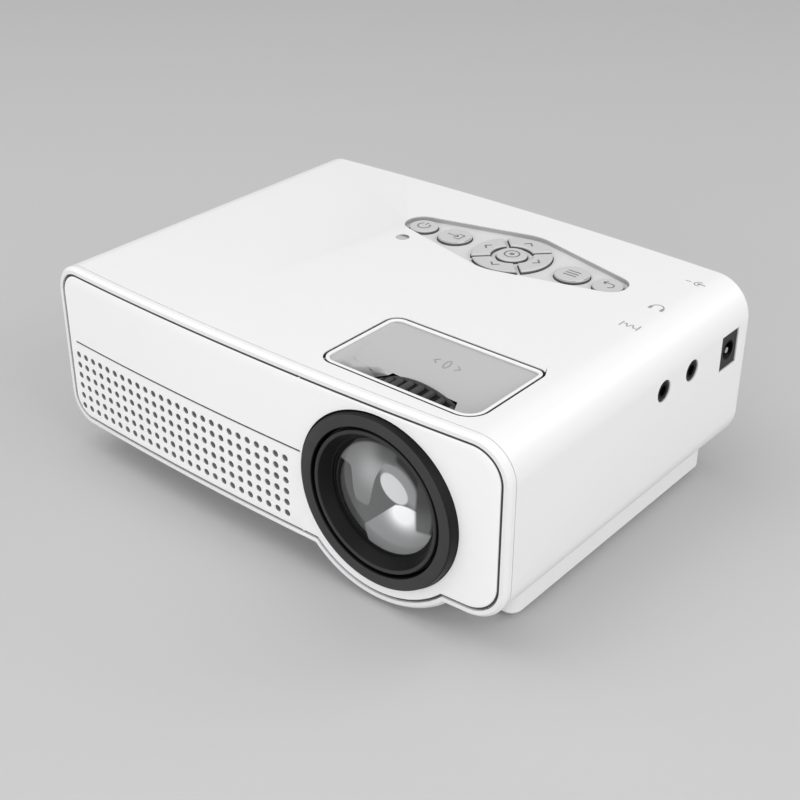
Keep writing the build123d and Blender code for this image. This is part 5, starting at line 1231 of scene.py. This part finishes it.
class PROJECTOR_OT_case(bpy.types.Operator):
    """Rounds the edges of the case mouldings and gives them their gloss"""

    bl_idname = "projector.case"
    bl_label = "Case"

    def execute(self, context):
        settings = context.scene.projector_case
        white = gloss_moulding("case_gloss", settings.white)
        sharp = [corner[:3] for corner in TRAY_CORNERS[:3]]
        rounded_copy("outer_sleeve", self.sleeve_finish(settings), settings.edge, corners=sharp)
        for node in ("front_frame", "bottom_cover", "rear_panel"):
            rounded_copy(node, white, settings.edge)
        return {"FINISHED"}

    def sleeve_finish(self, settings):
        """White gloss, duller in the keypad's recess, with painted shade on its floor and wall and round the
        tray.
        """
        finish = Finish("sleeve_gloss")
        flow, grain = gloss_marks(finish)
        x, y, z = finish.axes_mm()
        colour = settings.white
        white = finish.mix(flow, shade(colour, 1.015), shade(colour, 0.97))
        # Painted shade in the keypad's recess: its floor greyer, its wall darker still.
        pad = within(x, PAD_LOW[0], PAD_HIGH[0]) * within(y, PAD_LOW[1], PAD_HIGH[1])
        pad = pad * (1 - z.step(CASE_TOP - 0.6, CASE_TOP - 0.05))
        wall = z.step(PAD_FLOOR + 0.05, PAD_FLOOR + 0.35)
        pad_shade = finish.mix(wall, shade(colour, 0.80), shade(colour, 0.42))
        # Painted shade on the wall of the opening round the tray.
        opening = within(x, OPENING_LEFT - 0.4, OPENING_RIGHT + 0.4)
        opening = opening * within(y, OPENING_FRONT - 0.4, OPENING_REAR + 0.4)
        gap = opening * (1 - z.step(CASE_TOP - 0.5, CASE_TOP - 0.15))
        tone = finish.mix(gap, finish.mix(pad, white, pad_shade), settings.gap)
        finish.set(Base_Color=tone, Roughness=0.36 + 0.08 * flow + 0.15 * pad, Coat_Weight=0.1 - 0.08 * pad)
        finish.set(Coat_Roughness=0.12, Normal=finish.bump(grain * 0.6 + flow * 0.4, GLOSS_RELIEF))
        return finish.material


def rounded_outline(inset):
    """Plan of the focus tray's opening drawn in by an inset: four arcs, joined by straight sides."""
    path = []
    for x, y, radius, start in TRAY_CORNERS:
        left = np.sign(np.cos(np.radians(start + 45)))
        ahead = np.sign(np.sin(np.radians(start + 45)))
        turn = np.radians(np.linspace(start, start + 90, CORNER_STEPS))
        bend = max(radius - inset, 0.2)
        middle = (x - left * (inset + bend), y - ahead * (inset + bend))
        path.append(np.stack([middle[0] + bend * np.cos(turn), middle[1] + bend * np.sin(turn)], axis=1))
    return np.concatenate(path)


def scoop_depth(x, y):
    """Depth of the tray's floor below the case's top.

    The floor falls from its rear edge to its front in a straight line, deeper on the right than on the left.
    Left of a curved crease a wall rises to the lip as a power of the distance, and the two meet in a soft
    least of their depths. Left of the focus ring the floor rolls down.
    """
    share = np.clip((SCOOP_REAR_Y - y) / (SCOOP_REAR_Y - SCOOP_FRONT_Y), 0, 1.1)
    crease = SCOOP_LEFT_X + 0.5 + CREASE_BEND * share ** CREASE_POWER
    left = SCOOP_REAR_DEEP + LEFT_FALL * share
    right = SCOOP_REAR_DEEP + RIGHT_FALL * share
    floor = left + (right - left) * (x - crease) / (SCOOP_RIGHT_X - crease)
    rise = np.clip((x - SCOOP_LEFT_X) / (crease - SCOOP_LEFT_X), 0, 3)
    wall = WALL_TOP_DEEP + (left - WALL_TOP_DEEP) * rise ** WALL_POWER
    depth = -CREASE_SOFT * np.log(np.exp(-wall / CREASE_SOFT) + np.exp(-floor / CREASE_SOFT))
    return depth + ROLL_DEEP * rolled_share(x, y) ** ROLL_POWER


def rolled_share(x, y):
    """How far the tray's floor has rolled down towards the focus ring, from 0 to 1, left of the ring alone.

    It rises in a straight line ahead of an edge that bends forward on the left, and fades at both sides.
    """
    edge_y = FOCUS_BACK + ROLL_BEHIND - ROLL_BEND * np.clip((ROLL_BEND_X - x) / ROLL_BEND_LONG, 0, 1.2)
    from_left = np.clip((x - ROLL_LEFT_X) / ROLL_FADE_LEFT, 0, 1)
    from_right = np.clip((ROLL_RIGHT_X - x) / ROLL_FADE_RIGHT, 0, 1)
    return np.clip((edge_y - y) / ROLL_LONG, 0, 1) * from_left * from_right


class PROJECTOR_OT_tray(bpy.types.Operator):
    """Adds the focus tray: a white lip and a sunk floor that falls away to the focus ring"""

    bl_idname = "projector.tray"
    bl_label = "Focus tray"

    def execute(self, context):
        settings = context.scene.projector_case
        lip_points, lip_faces = self.lip()
        points, faces = gather([(lip_points, lip_faces), *self.floor()])
        tray = put_mesh("tray_scoop", points, faces, self.finish(settings), TRAY_ANGLE)
        facing_up(tray)
        x, y, z = points.T
        shadow = np.where(z < CASE_TOP - 0.3, rolled_share(x, y), 0.0)
        shadow[:2 * lip_points.shape[1]] = 1.0
        mark(tray, "shadow", shadow)
        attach(tray, "case")
        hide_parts("focus_tray")
        sign = put_mesh("focus_sign", *gather(self.sign()), satin_black("tray_print", (0.3, 0.3, 0.3), 0.6))
        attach(facing_out(sign), "case")
        return {"FINISHED"}

    def lip(self):
        """The outline's rings, each at its inset and height: outer side, rounded lip, and inner wall."""
        rings = []
        for inset, height in LIP_RINGS:
            plan = rounded_outline(TRAY_GAP + inset)
            rings.append(np.column_stack([plan, np.full(len(plan), CASE_TOP + height)]))
        return np.stack(rings), grid_faces(len(rings), len(rings[0]), close_columns=True)

    def floor(self):
        """The scoop's depth over three grids in plan: behind the focus ring, and left and right of it."""
        back_y = FOCUS_BACK + 0.35
        side_left = SCOOP_LEFT_X - UNDER_LIP
        side_right = SCOOP_RIGHT_X + UNDER_LIP
        rear = self.floor_patch(np.linspace(SCOOP_REAR_Y + UNDER_LIP, back_y, 64), side_left, side_right, 120)
        y = np.linspace(back_y, SCOOP_FRONT_Y - UNDER_LIP, 48)
        left = self.floor_patch(y, side_left, self.ring_meets(y, side_left), 48)
        right = self.floor_patch(y, self.ring_meets(y, side_right), side_right, 30)
        return [rear, left, right]

    def floor_patch(self, y, low_x, high_x, count):
        """Rows at y, each from one x to another, with the scoop's depth below the case's top."""
        low_x = np.broadcast_to(low_x, y.shape)[:, None]
        high_x = np.broadcast_to(high_x, y.shape)[:, None]
        x = low_x + (high_x - low_x) * np.linspace(0, 1, count)[None, :]
        grid_y = np.broadcast_to(y[:, None], x.shape)
        return np.stack([x, grid_y, CASE_TOP - scoop_depth(x, grid_y)], axis=-1), grid_faces(len(y), count)

    def ring_meets(self, y, side):
        """For each row, the first x from one side where the focus ring and its clearance top the floor."""
        x = np.linspace(side, LENS_X, 500)[None, :]
        ring_z = LENS_Z + np.sqrt(np.maximum((FOCUS_R + RING_CLEAR) ** 2 - (x - LENS_X) ** 2, 0))
        over = ring_z > CASE_TOP - scoop_depth(x, y[:, None])
        return x[0, np.argmax(over, axis=1)]

    def sign(self):
        """A lens between two arrowheads, laid on the floor."""
        middle = np.array(FOCUS_SIGN)
        lens = [
            arc_path(middle + (-1.6, 0), 2.3, -42, 42, 12),
            arc_path(middle + (1.6, 0), 2.3, 138, 222, 12),
        ]
        heads = [
            bent_path(middle + (-2.6, 0.9), middle + (-3.7, 0), middle + (-2.6, -0.9)),
            bent_path(middle + (2.6, 0.9), middle + (3.7, 0), middle + (2.6, -0.9)),
        ]
        strokes = enlarged([(path, 0.5) for path in lens + heads], middle, FOCUS_SIGN_SCALE, 1.0)
        return [ribbon(path, width, 0.04, CASE_TOP - scoop_depth(*path.T) - 0.01) for path, width in strokes]

    def finish(self, settings):
        """White gloss on the lip, painted shade in a duller grey below it and darker where the mesh is
        marked.
        """
        finish = Finish("tray_two_tone")
        up = finish.axes_mm()[2]
        grain = finish.noise(3200.0, 3.0)
        flow = finish.noise(30.0, 2.0)
        sunk = 1 - up.step(CASE_TOP - 0.55, CASE_TOP - 0.4)
        white = finish.mix(flow, shade(settings.white, 1.03), shade(settings.white, 0.99))
        # The sunk floor's grey is painted shade in the scoop.
        grey = settings.tray_floor
        floor = finish.mix(grain * 0.5 + flow * 0.5, grey, shade(grey, 1.06))
        shadow = finish.node("ShaderNodeAttribute", output="Fac", settings={"attribute_name": "shadow"})
        finish.set(
            Base_Color=finish.mix(shadow, finish.mix(sunk, white, floor), settings.gap),
            Roughness=0.35 + 0.15 * sunk + 0.05 * grain,
            Coat_Weight=0.1 - 0.1 * sunk,
            Normal=finish.bump(grain, 0.000008),
        )
        return finish.material


def ribbon(path, width, height, base):
    """A rectangular section carried along a path in plan: its corners lie out along the path's normal."""
    path = np.asarray(path, float)
    forward = np.gradient(path, axis=0)
    forward /= np.linalg.norm(forward, axis=1, keepdims=True)
    out = np.stack([-forward[:, 1], forward[:, 0]], axis=1) * width / 2
    sides = np.stack([path - out, path + out, path + out, path - out], axis=1)
    z = np.broadcast_to(base, len(path))[:, None] + np.array([0, 0, height, height])
    points = np.concatenate([sides, z[..., None]], axis=-1)
    faces = grid_faces(len(path), 4, close_columns=True)
    last = (len(path) - 1) * 4
    ends = np.array([[0, 3, 2, 1], [last, last + 1, last + 2, last + 3]])
    return points.reshape(-1, 3), np.concatenate([faces, ends])


def arc_path(middle, radius, start, end, count=28):
    """Points on an arc about a middle, from one angle to another in degrees."""
    turn = np.radians(np.linspace(start, end, count))
    return np.stack([middle[0] + radius * np.cos(turn), middle[1] + radius * np.sin(turn)], axis=1)


def line_path(start, end, count=3):
    """Points on a straight line."""
    share = np.linspace(0, 1, count)[:, None]
    return np.asarray(start) + (np.asarray(end) - np.asarray(start)) * share


def bent_path(*corners):
    """Points on a line through corners, each doubled so that the corner stays sharp."""
    parts = [line_path(first, second, 6) for first, second in zip(corners[:-1], corners[1:])]
    return np.concatenate(parts)


def enlarged(strokes, middle, scale, weight):
    """Strokes whose paths are scaled about a middle, with their widths multiplied by a weight."""
    return [(middle + (path - middle) * scale, width * weight) for path, width in strokes]


def key_signs(node, middle):
    """Paths and widths in millimetres of the strokes that make a key's sign, about the middle of the key."""
    if node == "power_button":
        bar = line_path(middle + (0, 0.7), middle + (0, 2.2))
        return [(arc_path(middle, 1.7, 125, 415), 0.38), (bar, 0.38)]
    if node == "source_button":
        box = [middle + (dx, dy) for dx, dy in ((0.6, 1.4), (2.3, 1.4), (2.3, -1.4), (0.6, -1.4))]
        shaft = line_path(middle + (-2.4, 0), middle + (1.0, 0))
        head = bent_path(middle + (0.2, 0.9), middle + (1.15, 0), middle + (0.2, -0.9))
        return [(bent_path(*box), 0.36), (shaft, 0.36), (head, 0.36)]
    if node == "menu_button":
        return [(line_path(middle + (-1.9, dy), middle + (1.9, dy)), 0.42) for dy in (-1.25, 0.0, 1.25)]
    if node == "back_button":
        shaft = line_path(middle + (-1.6, 0.9), middle + (0.6, 0.9))
        bend = arc_path(middle + (0.6, -0.2), 1.1, 90, -90, 14)
        head = bent_path(middle + (-0.8, 1.8), middle + (-1.75, 0.9), middle + (-0.8, 0.0))
        return [(np.concatenate([shaft, bend]), 0.36), (head, 0.36)]
    if node == "ok_button":
        return [(arc_path(middle, 2.0, 0, 360, 40), 0.4), (arc_path(middle, 0.45, 0, 360, 20), 0.5)]
    ahead = np.array(ARROW_KEYS[node])
    across = np.array([-ahead[1], ahead[0]])
    foot = middle - ahead * 0.5
    return [(bent_path(foot - across * 1.3, middle + ahead * 0.8, foot + across * 1.3), 0.45)]


class PROJECTOR_OT_keys(bpy.types.Operator):
    """Rounds the nine keys and prints their signs"""

    bl_idname = "projector.keys"
    bl_label = "Keys"

    def execute(self, context):
        look = context.scene.projector_keys
        satin = self.key_finish(look)
        print_grey = satin_black("sign_print", look.sign, 0.5)
        for node in KEY_NODES:
            rounded_copy(node, satin, KEY_EDGE)
            low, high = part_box(node)
            middle = np.array([low[0] + high[0], low[1] + high[1]]) / 2 / MM
            strokes = enlarged(key_signs(node, middle), middle, KEY_SIGN_SCALE, KEY_SIGN_WEIGHT)
            base = high[2] / MM - PRINT_SUNK
            points, faces = gather([ribbon(path, width, 2 * PRINT_SUNK, base) for path, width in strokes])
            sign = facing_out(put_mesh(node + "_sign", points, faces, print_grey))
            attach(sign, node)
        return {"FINISHED"}

    def key_finish(self, look):
        """Satin grey on top, and shaded sides that stand in the slots of the keypad."""
        finish = Finish("key_satin")
        up = finish.axes_mm()[2]
        flow = finish.noise(60.0, 3.0)
        grain = finish.noise(4200.0, 2.0)
        side = 1 - up.step(PAD_FLOOR + 0.55, PAD_FLOOR + 0.95)
        grey = look.key
        top = finish.mix(flow, shade(grey, 1.03), shade(grey, 0.96))
        finish.set(
            Base_Color=finish.mix(side, top, shade(grey, 0.16)),
            Roughness=0.4 + 0.08 * flow,
            Coat_Weight=0.1 - 0.08 * side,
            Normal=finish.bump(grain, PEBBLE_RELIEF),
        )
        return finish.material


class PROJECTOR_OT_case_signs(bpy.types.Operator):
    """Prints the small signs beside the sockets"""

    bl_idname = "projector.case_signs"
    bl_label = "Case signs"

    def execute(self, context):
        look = context.scene.projector_keys
        pale = satin_black("case_print", shade(look.sign, 1.9), 0.5)
        strokes = []
        for kind, deep in SOCKET_SIGNS.items():
            middle = np.array([SOCKET_SIGN_X, FRONT_Y + deep])
            drawn = self.socket_sign(kind, middle)
            strokes += enlarged(drawn, middle, CASE_SIGN_SCALE, CASE_SIGN_WEIGHT)
        base = CASE_TOP - PRINT_SUNK
        points, faces = gather([ribbon(path, width, CASE_PRINT_T, base) for path, width in strokes])
        sign = facing_out(put_mesh("socket_signs", points, faces, pale))
        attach(sign, "case")
        return {"FINISHED"}

    def socket_sign(self, kind, middle):
        """Strokes of one sign: a plug with its pin, a headband, or a wave between two bars."""
        if kind == "power":
            return [
                (arc_path(middle + (1.2, 0), 1.3, 60, 300, 20), 0.3),
                (line_path(middle + (1.2, 0), middle + (3.2, 0)), 0.3),
                (line_path(middle + (-3.0, 0), middle + (-1.2, 0)), 0.3),
                (arc_path(middle + (1.2, 0), 0.35, 0, 360, 14), 0.3),
            ]
        if kind == "phones":
            return [
                (arc_path(middle, 1.8, 0, 180, 20), 0.32),
                (line_path(middle + (-1.8, 0.1), middle + (-1.8, -1.5)), 0.75),
                (line_path(middle + (1.8, 0.1), middle + (1.8, -1.5)), 0.75),
            ]
        wave_x = np.linspace(-1.9, 1.9, 30)
        wave = np.stack([middle[0] + wave_x, middle[1] + 0.8 * np.sin(wave_x * 3.2)], axis=1)
        return [
            (wave, 0.3),
            (line_path(middle + (-2.6, -1.4), middle + (-2.6, 1.4)), 0.32),
            (line_path(middle + (2.6, -1.4), middle + (2.6, 1.4)), 0.32),
        ]


class PROJECTOR_OT_fittings(bpy.types.Operator):
    """Gives the sockets, boards, light engine, fan, feet and screws their finishes"""

    bl_idname = "projector.fittings"
    bl_label = "Fittings"

    def execute(self, context):
        case = context.scene.projector_case
        lens = context.scene.projector_lens
        finishes = {
            # Painted shade: the grille's backing is the case's white darkened to grey, as seen through the
            # holes.
            "grey": gloss_moulding("inner_grey", shade(case.white, 0.22)),
            "black": satin_black("inner_black", (0.02, 0.02, 0.021), 0.45),
            "steel": steel("plated_steel", (0.62, 0.62, 0.61), 0.25),
            "board": circuit_board("green_board", (0.03, 0.16, 0.07)),
            "aluminium": bare_aluminium("sink_extrusion", (0.75, 0.75, 0.76)),
            "foam": open_foam("filter_foam", (0.05, 0.05, 0.05)),
            "rubber": soft_rubber("foot_rubber", (0.03, 0.03, 0.03)),
            "brass": steel("insert_brass", (0.72, 0.52, 0.24), 0.3),
            "glass": clear_glass("inner_glass", lens.coating),
            "lamp": self.lamp_finish(),
        }
        for kind, nodes in PLAIN_NODES.items():
            for node in nodes:
                self.put_on(node, finishes[kind])
                frame["nodes"][node].data.set_sharp_from_angle(angle=np.radians(CAD_ANGLE))
        for node, mouth_r in SOCKET_MOUTHS.items():
            self.put_on(node, self.socket_finish(node, mouth_r))
        return {"FINISHED"}

    def put_on(self, node, material):
        """Gives a node of the CAD model its one material."""
        shown = frame["nodes"][node]
        shown.data.materials.clear()
        shown.data.materials.append(material)

    def socket_finish(self, node, mouth_r):
        """Grey-black moulding, its mouth painted in shade: a black circle about the socket's middle, seen
        from its side.
        """
        low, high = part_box(node)
        finish = Finish(node + "_black")
        _, along, up = finish.axes_mm()
        y = along - (low[1] + high[1]) / 2 / MM
        z = up - (low[2] + high[2]) / 2 / MM
        # The mouth is painted black: the shade inside the socket's hole.
        mouth = 1 - ((y * y + z * z) ** 0.5).step(mouth_r - 0.1, mouth_r + 0.1)
        pebble = finish.noise(3600.0, 3.0, 0.6)
        grey = finish.mix(pebble, (0.028, 0.028, 0.029), (0.045, 0.045, 0.046))
        finish.set(
            Base_Color=finish.mix(mouth, grey, (0.001, 0.001, 0.001)),
            Roughness=0.5 + 0.1 * pebble,
            Specular_IOR_Level=0.12,
            Normal=finish.bump(pebble, PEBBLE_RELIEF),
        )
        return finish.material

    def lamp_finish(self):
        """Grey light pipe with a darker rear half, where the hole's edge shades it."""
        low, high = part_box("indicator_lens")
        finish = Finish("lamp_pipe")
        y = finish.axes_mm()[1] - (low[1] + high[1]) / 2 / MM
        cloud = finish.noise(700.0, 3.0)
        finish.set(
            Base_Color=finish.mix(y.step(-0.2, 1.6), (0.5, 0.5, 0.53), (0.12, 0.12, 0.13)),
            Roughness=0.2 + 0.1 * cloud,
            Coat_Weight=0.4,
        )
        return finish.material


class PROJECTOR_OT_stage(bpy.types.Operator):
    """Adds the floor, the lamps, the room light and the camera at the photograph's angle"""

    bl_idname = "projector.stage"
    bl_label = "Studio"

    def execute(self, context):
        look = context.scene.projector_studio
        self.floor(look)
        self.room(context, look)
        for name, (place, target, size, power) in LAMPS.items():
            self.lamp(name, place, target, size, getattr(look, power))
        self.camera(context)
        context.scene.view_settings.view_transform = "Standard"
        return {"FINISHED"}

    def floor(self, look):
        """A flat floor that rises in a round cove: a profile of depth and height, carried straight across."""
        across = np.linspace(-FLOOR_HALF, FLOOR_HALF, 9)
        flat = np.linspace(-FLOOR_FRONT, FLOOR_REAR, 12)
        bend = np.radians(np.linspace(0, 90, 13))[1:]
        deep = np.concatenate([flat, FLOOR_REAR + COVE_R * np.sin(bend), [FLOOR_REAR + COVE_R]])
        high = np.concatenate([np.zeros_like(flat), COVE_R * (1 - np.cos(bend)), [BACKDROP_HIGH]])
        x, y = np.meshgrid(across, deep, indexing="ij")
        z = np.broadcast_to(high, x.shape)
        cosine = np.cos(np.radians(AZIMUTH))
        sine = np.sin(np.radians(AZIMUTH))
        points = np.stack([x * cosine - y * sine, x * sine + y * cosine, z], axis=-1)
        finish = Finish("floor_paper")
        fibre = finish.noise(700.0, 4.0, 0.6)
        sweep = finish.noise(3.0, 2.0)
        grey = look.floor
        tone = finish.mix(fibre * 0.4 + sweep * 0.6, shade(grey, 0.985), shade(grey, 1.01))
        finish.set(Base_Color=tone, Roughness=0.7 + 0.1 * fibre, Normal=finish.bump(fibre, 0.00002))
        faces = grid_faces(len(across), len(deep))
        floor = put_mesh("floor", points.reshape(-1, 3), faces, finish.material, FLOOR_ANGLE)

    def room(self, context, look):
        """Even white light from all sides."""
        world = bpy.data.worlds.new("room")
        context.scene.world = world
        world.use_nodes = True
        background = world.node_tree.nodes["Background"]
        background.inputs["Color"].default_value = (1.0, 1.0, 1.0, 1.0)
        background.inputs["Strength"].default_value = look.world_light

    def lamp(self, name, place, target, size, power):
        """A rectangular soft lamp that looks at a point."""
        light = bpy.data.lights.new(name, "AREA")
        light.shape = "RECTANGLE"
        light.size, light.size_y = size
        light.energy = power
        lamp = bpy.data.objects.new(name, light)
        lamp.location = place
        lamp.rotation_euler = (Vector(target) - Vector(place)).to_track_quat("-Z", "Y").to_euler()
        bpy.context.collection.objects.link(lamp)

    def camera(self, context):
        """The camera at the photograph's place, turned towards its target and rolled a little."""
        data = bpy.data.cameras.new("photo_camera")
        data.sensor_width = 36.0
        data.lens = FOCAL
        data.clip_start = 0.01
        camera = bpy.data.objects.new("photo_camera", data)
        camera.location = CAMERA_PLACE
        look = (Vector(CAMERA_TARGET) - Vector(CAMERA_PLACE)).to_track_quat("-Z", "Y")
        roll = Euler((0, 0, np.radians(CAMERA_ROLL))).to_quaternion()
        camera.rotation_euler = (look @ roll).to_euler()
        context.collection.objects.link(camera)
        context.scene.camera = camera


class PROJECTOR_PT_pieces(bpy.types.Panel):
    """Lists the operators that build the projector"""

    bl_idname = "PROJECTOR_PT_pieces"
    bl_label = "Mini projector"
    bl_space_type = "VIEW_3D"
    bl_region_type = "UI"
    bl_category = "Projector"

    def draw(self, context):
        for operator in OPERATORS:
            self.layout.operator(operator.bl_idname)


OPERATORS = [
    PROJECTOR_OT_case,
    PROJECTOR_OT_front_panel,
    PROJECTOR_OT_lens,
    PROJECTOR_OT_focus_ring,
    PROJECTOR_OT_tray,
    PROJECTOR_OT_keys,
    PROJECTOR_OT_case_signs,
    PROJECTOR_OT_fittings,
    PROJECTOR_OT_stage,
]
SETTINGS = {
    "projector_case": CaseSettings,
    "projector_grille": GrilleSettings,
    "projector_lens": LensSettings,
    "projector_keys": KeySettings,
    "projector_studio": StudioSettings,
}


def register():
    for group in (*SETTINGS.values(), *OPERATORS, PROJECTOR_PT_pieces):
        bpy.utils.register_class(group)
    for name, group in SETTINGS.items():
        setattr(bpy.types.Scene, name, PointerProperty(type=group))


def unregister():
    for name in SETTINGS:
        delattr(bpy.types.Scene, name)
    for group in (PROJECTOR_PT_pieces, *reversed(OPERATORS), *SETTINGS.values()):
        bpy.utils.unregister_class(group)


def main():
    """Builds every piece in order."""
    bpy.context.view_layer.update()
    register()
    for operator in OPERATORS:
        group, call = operator.bl_idname.split(".")
        getattr(getattr(bpy.ops, group), call)()


if __name__ == "__main__":
    main()
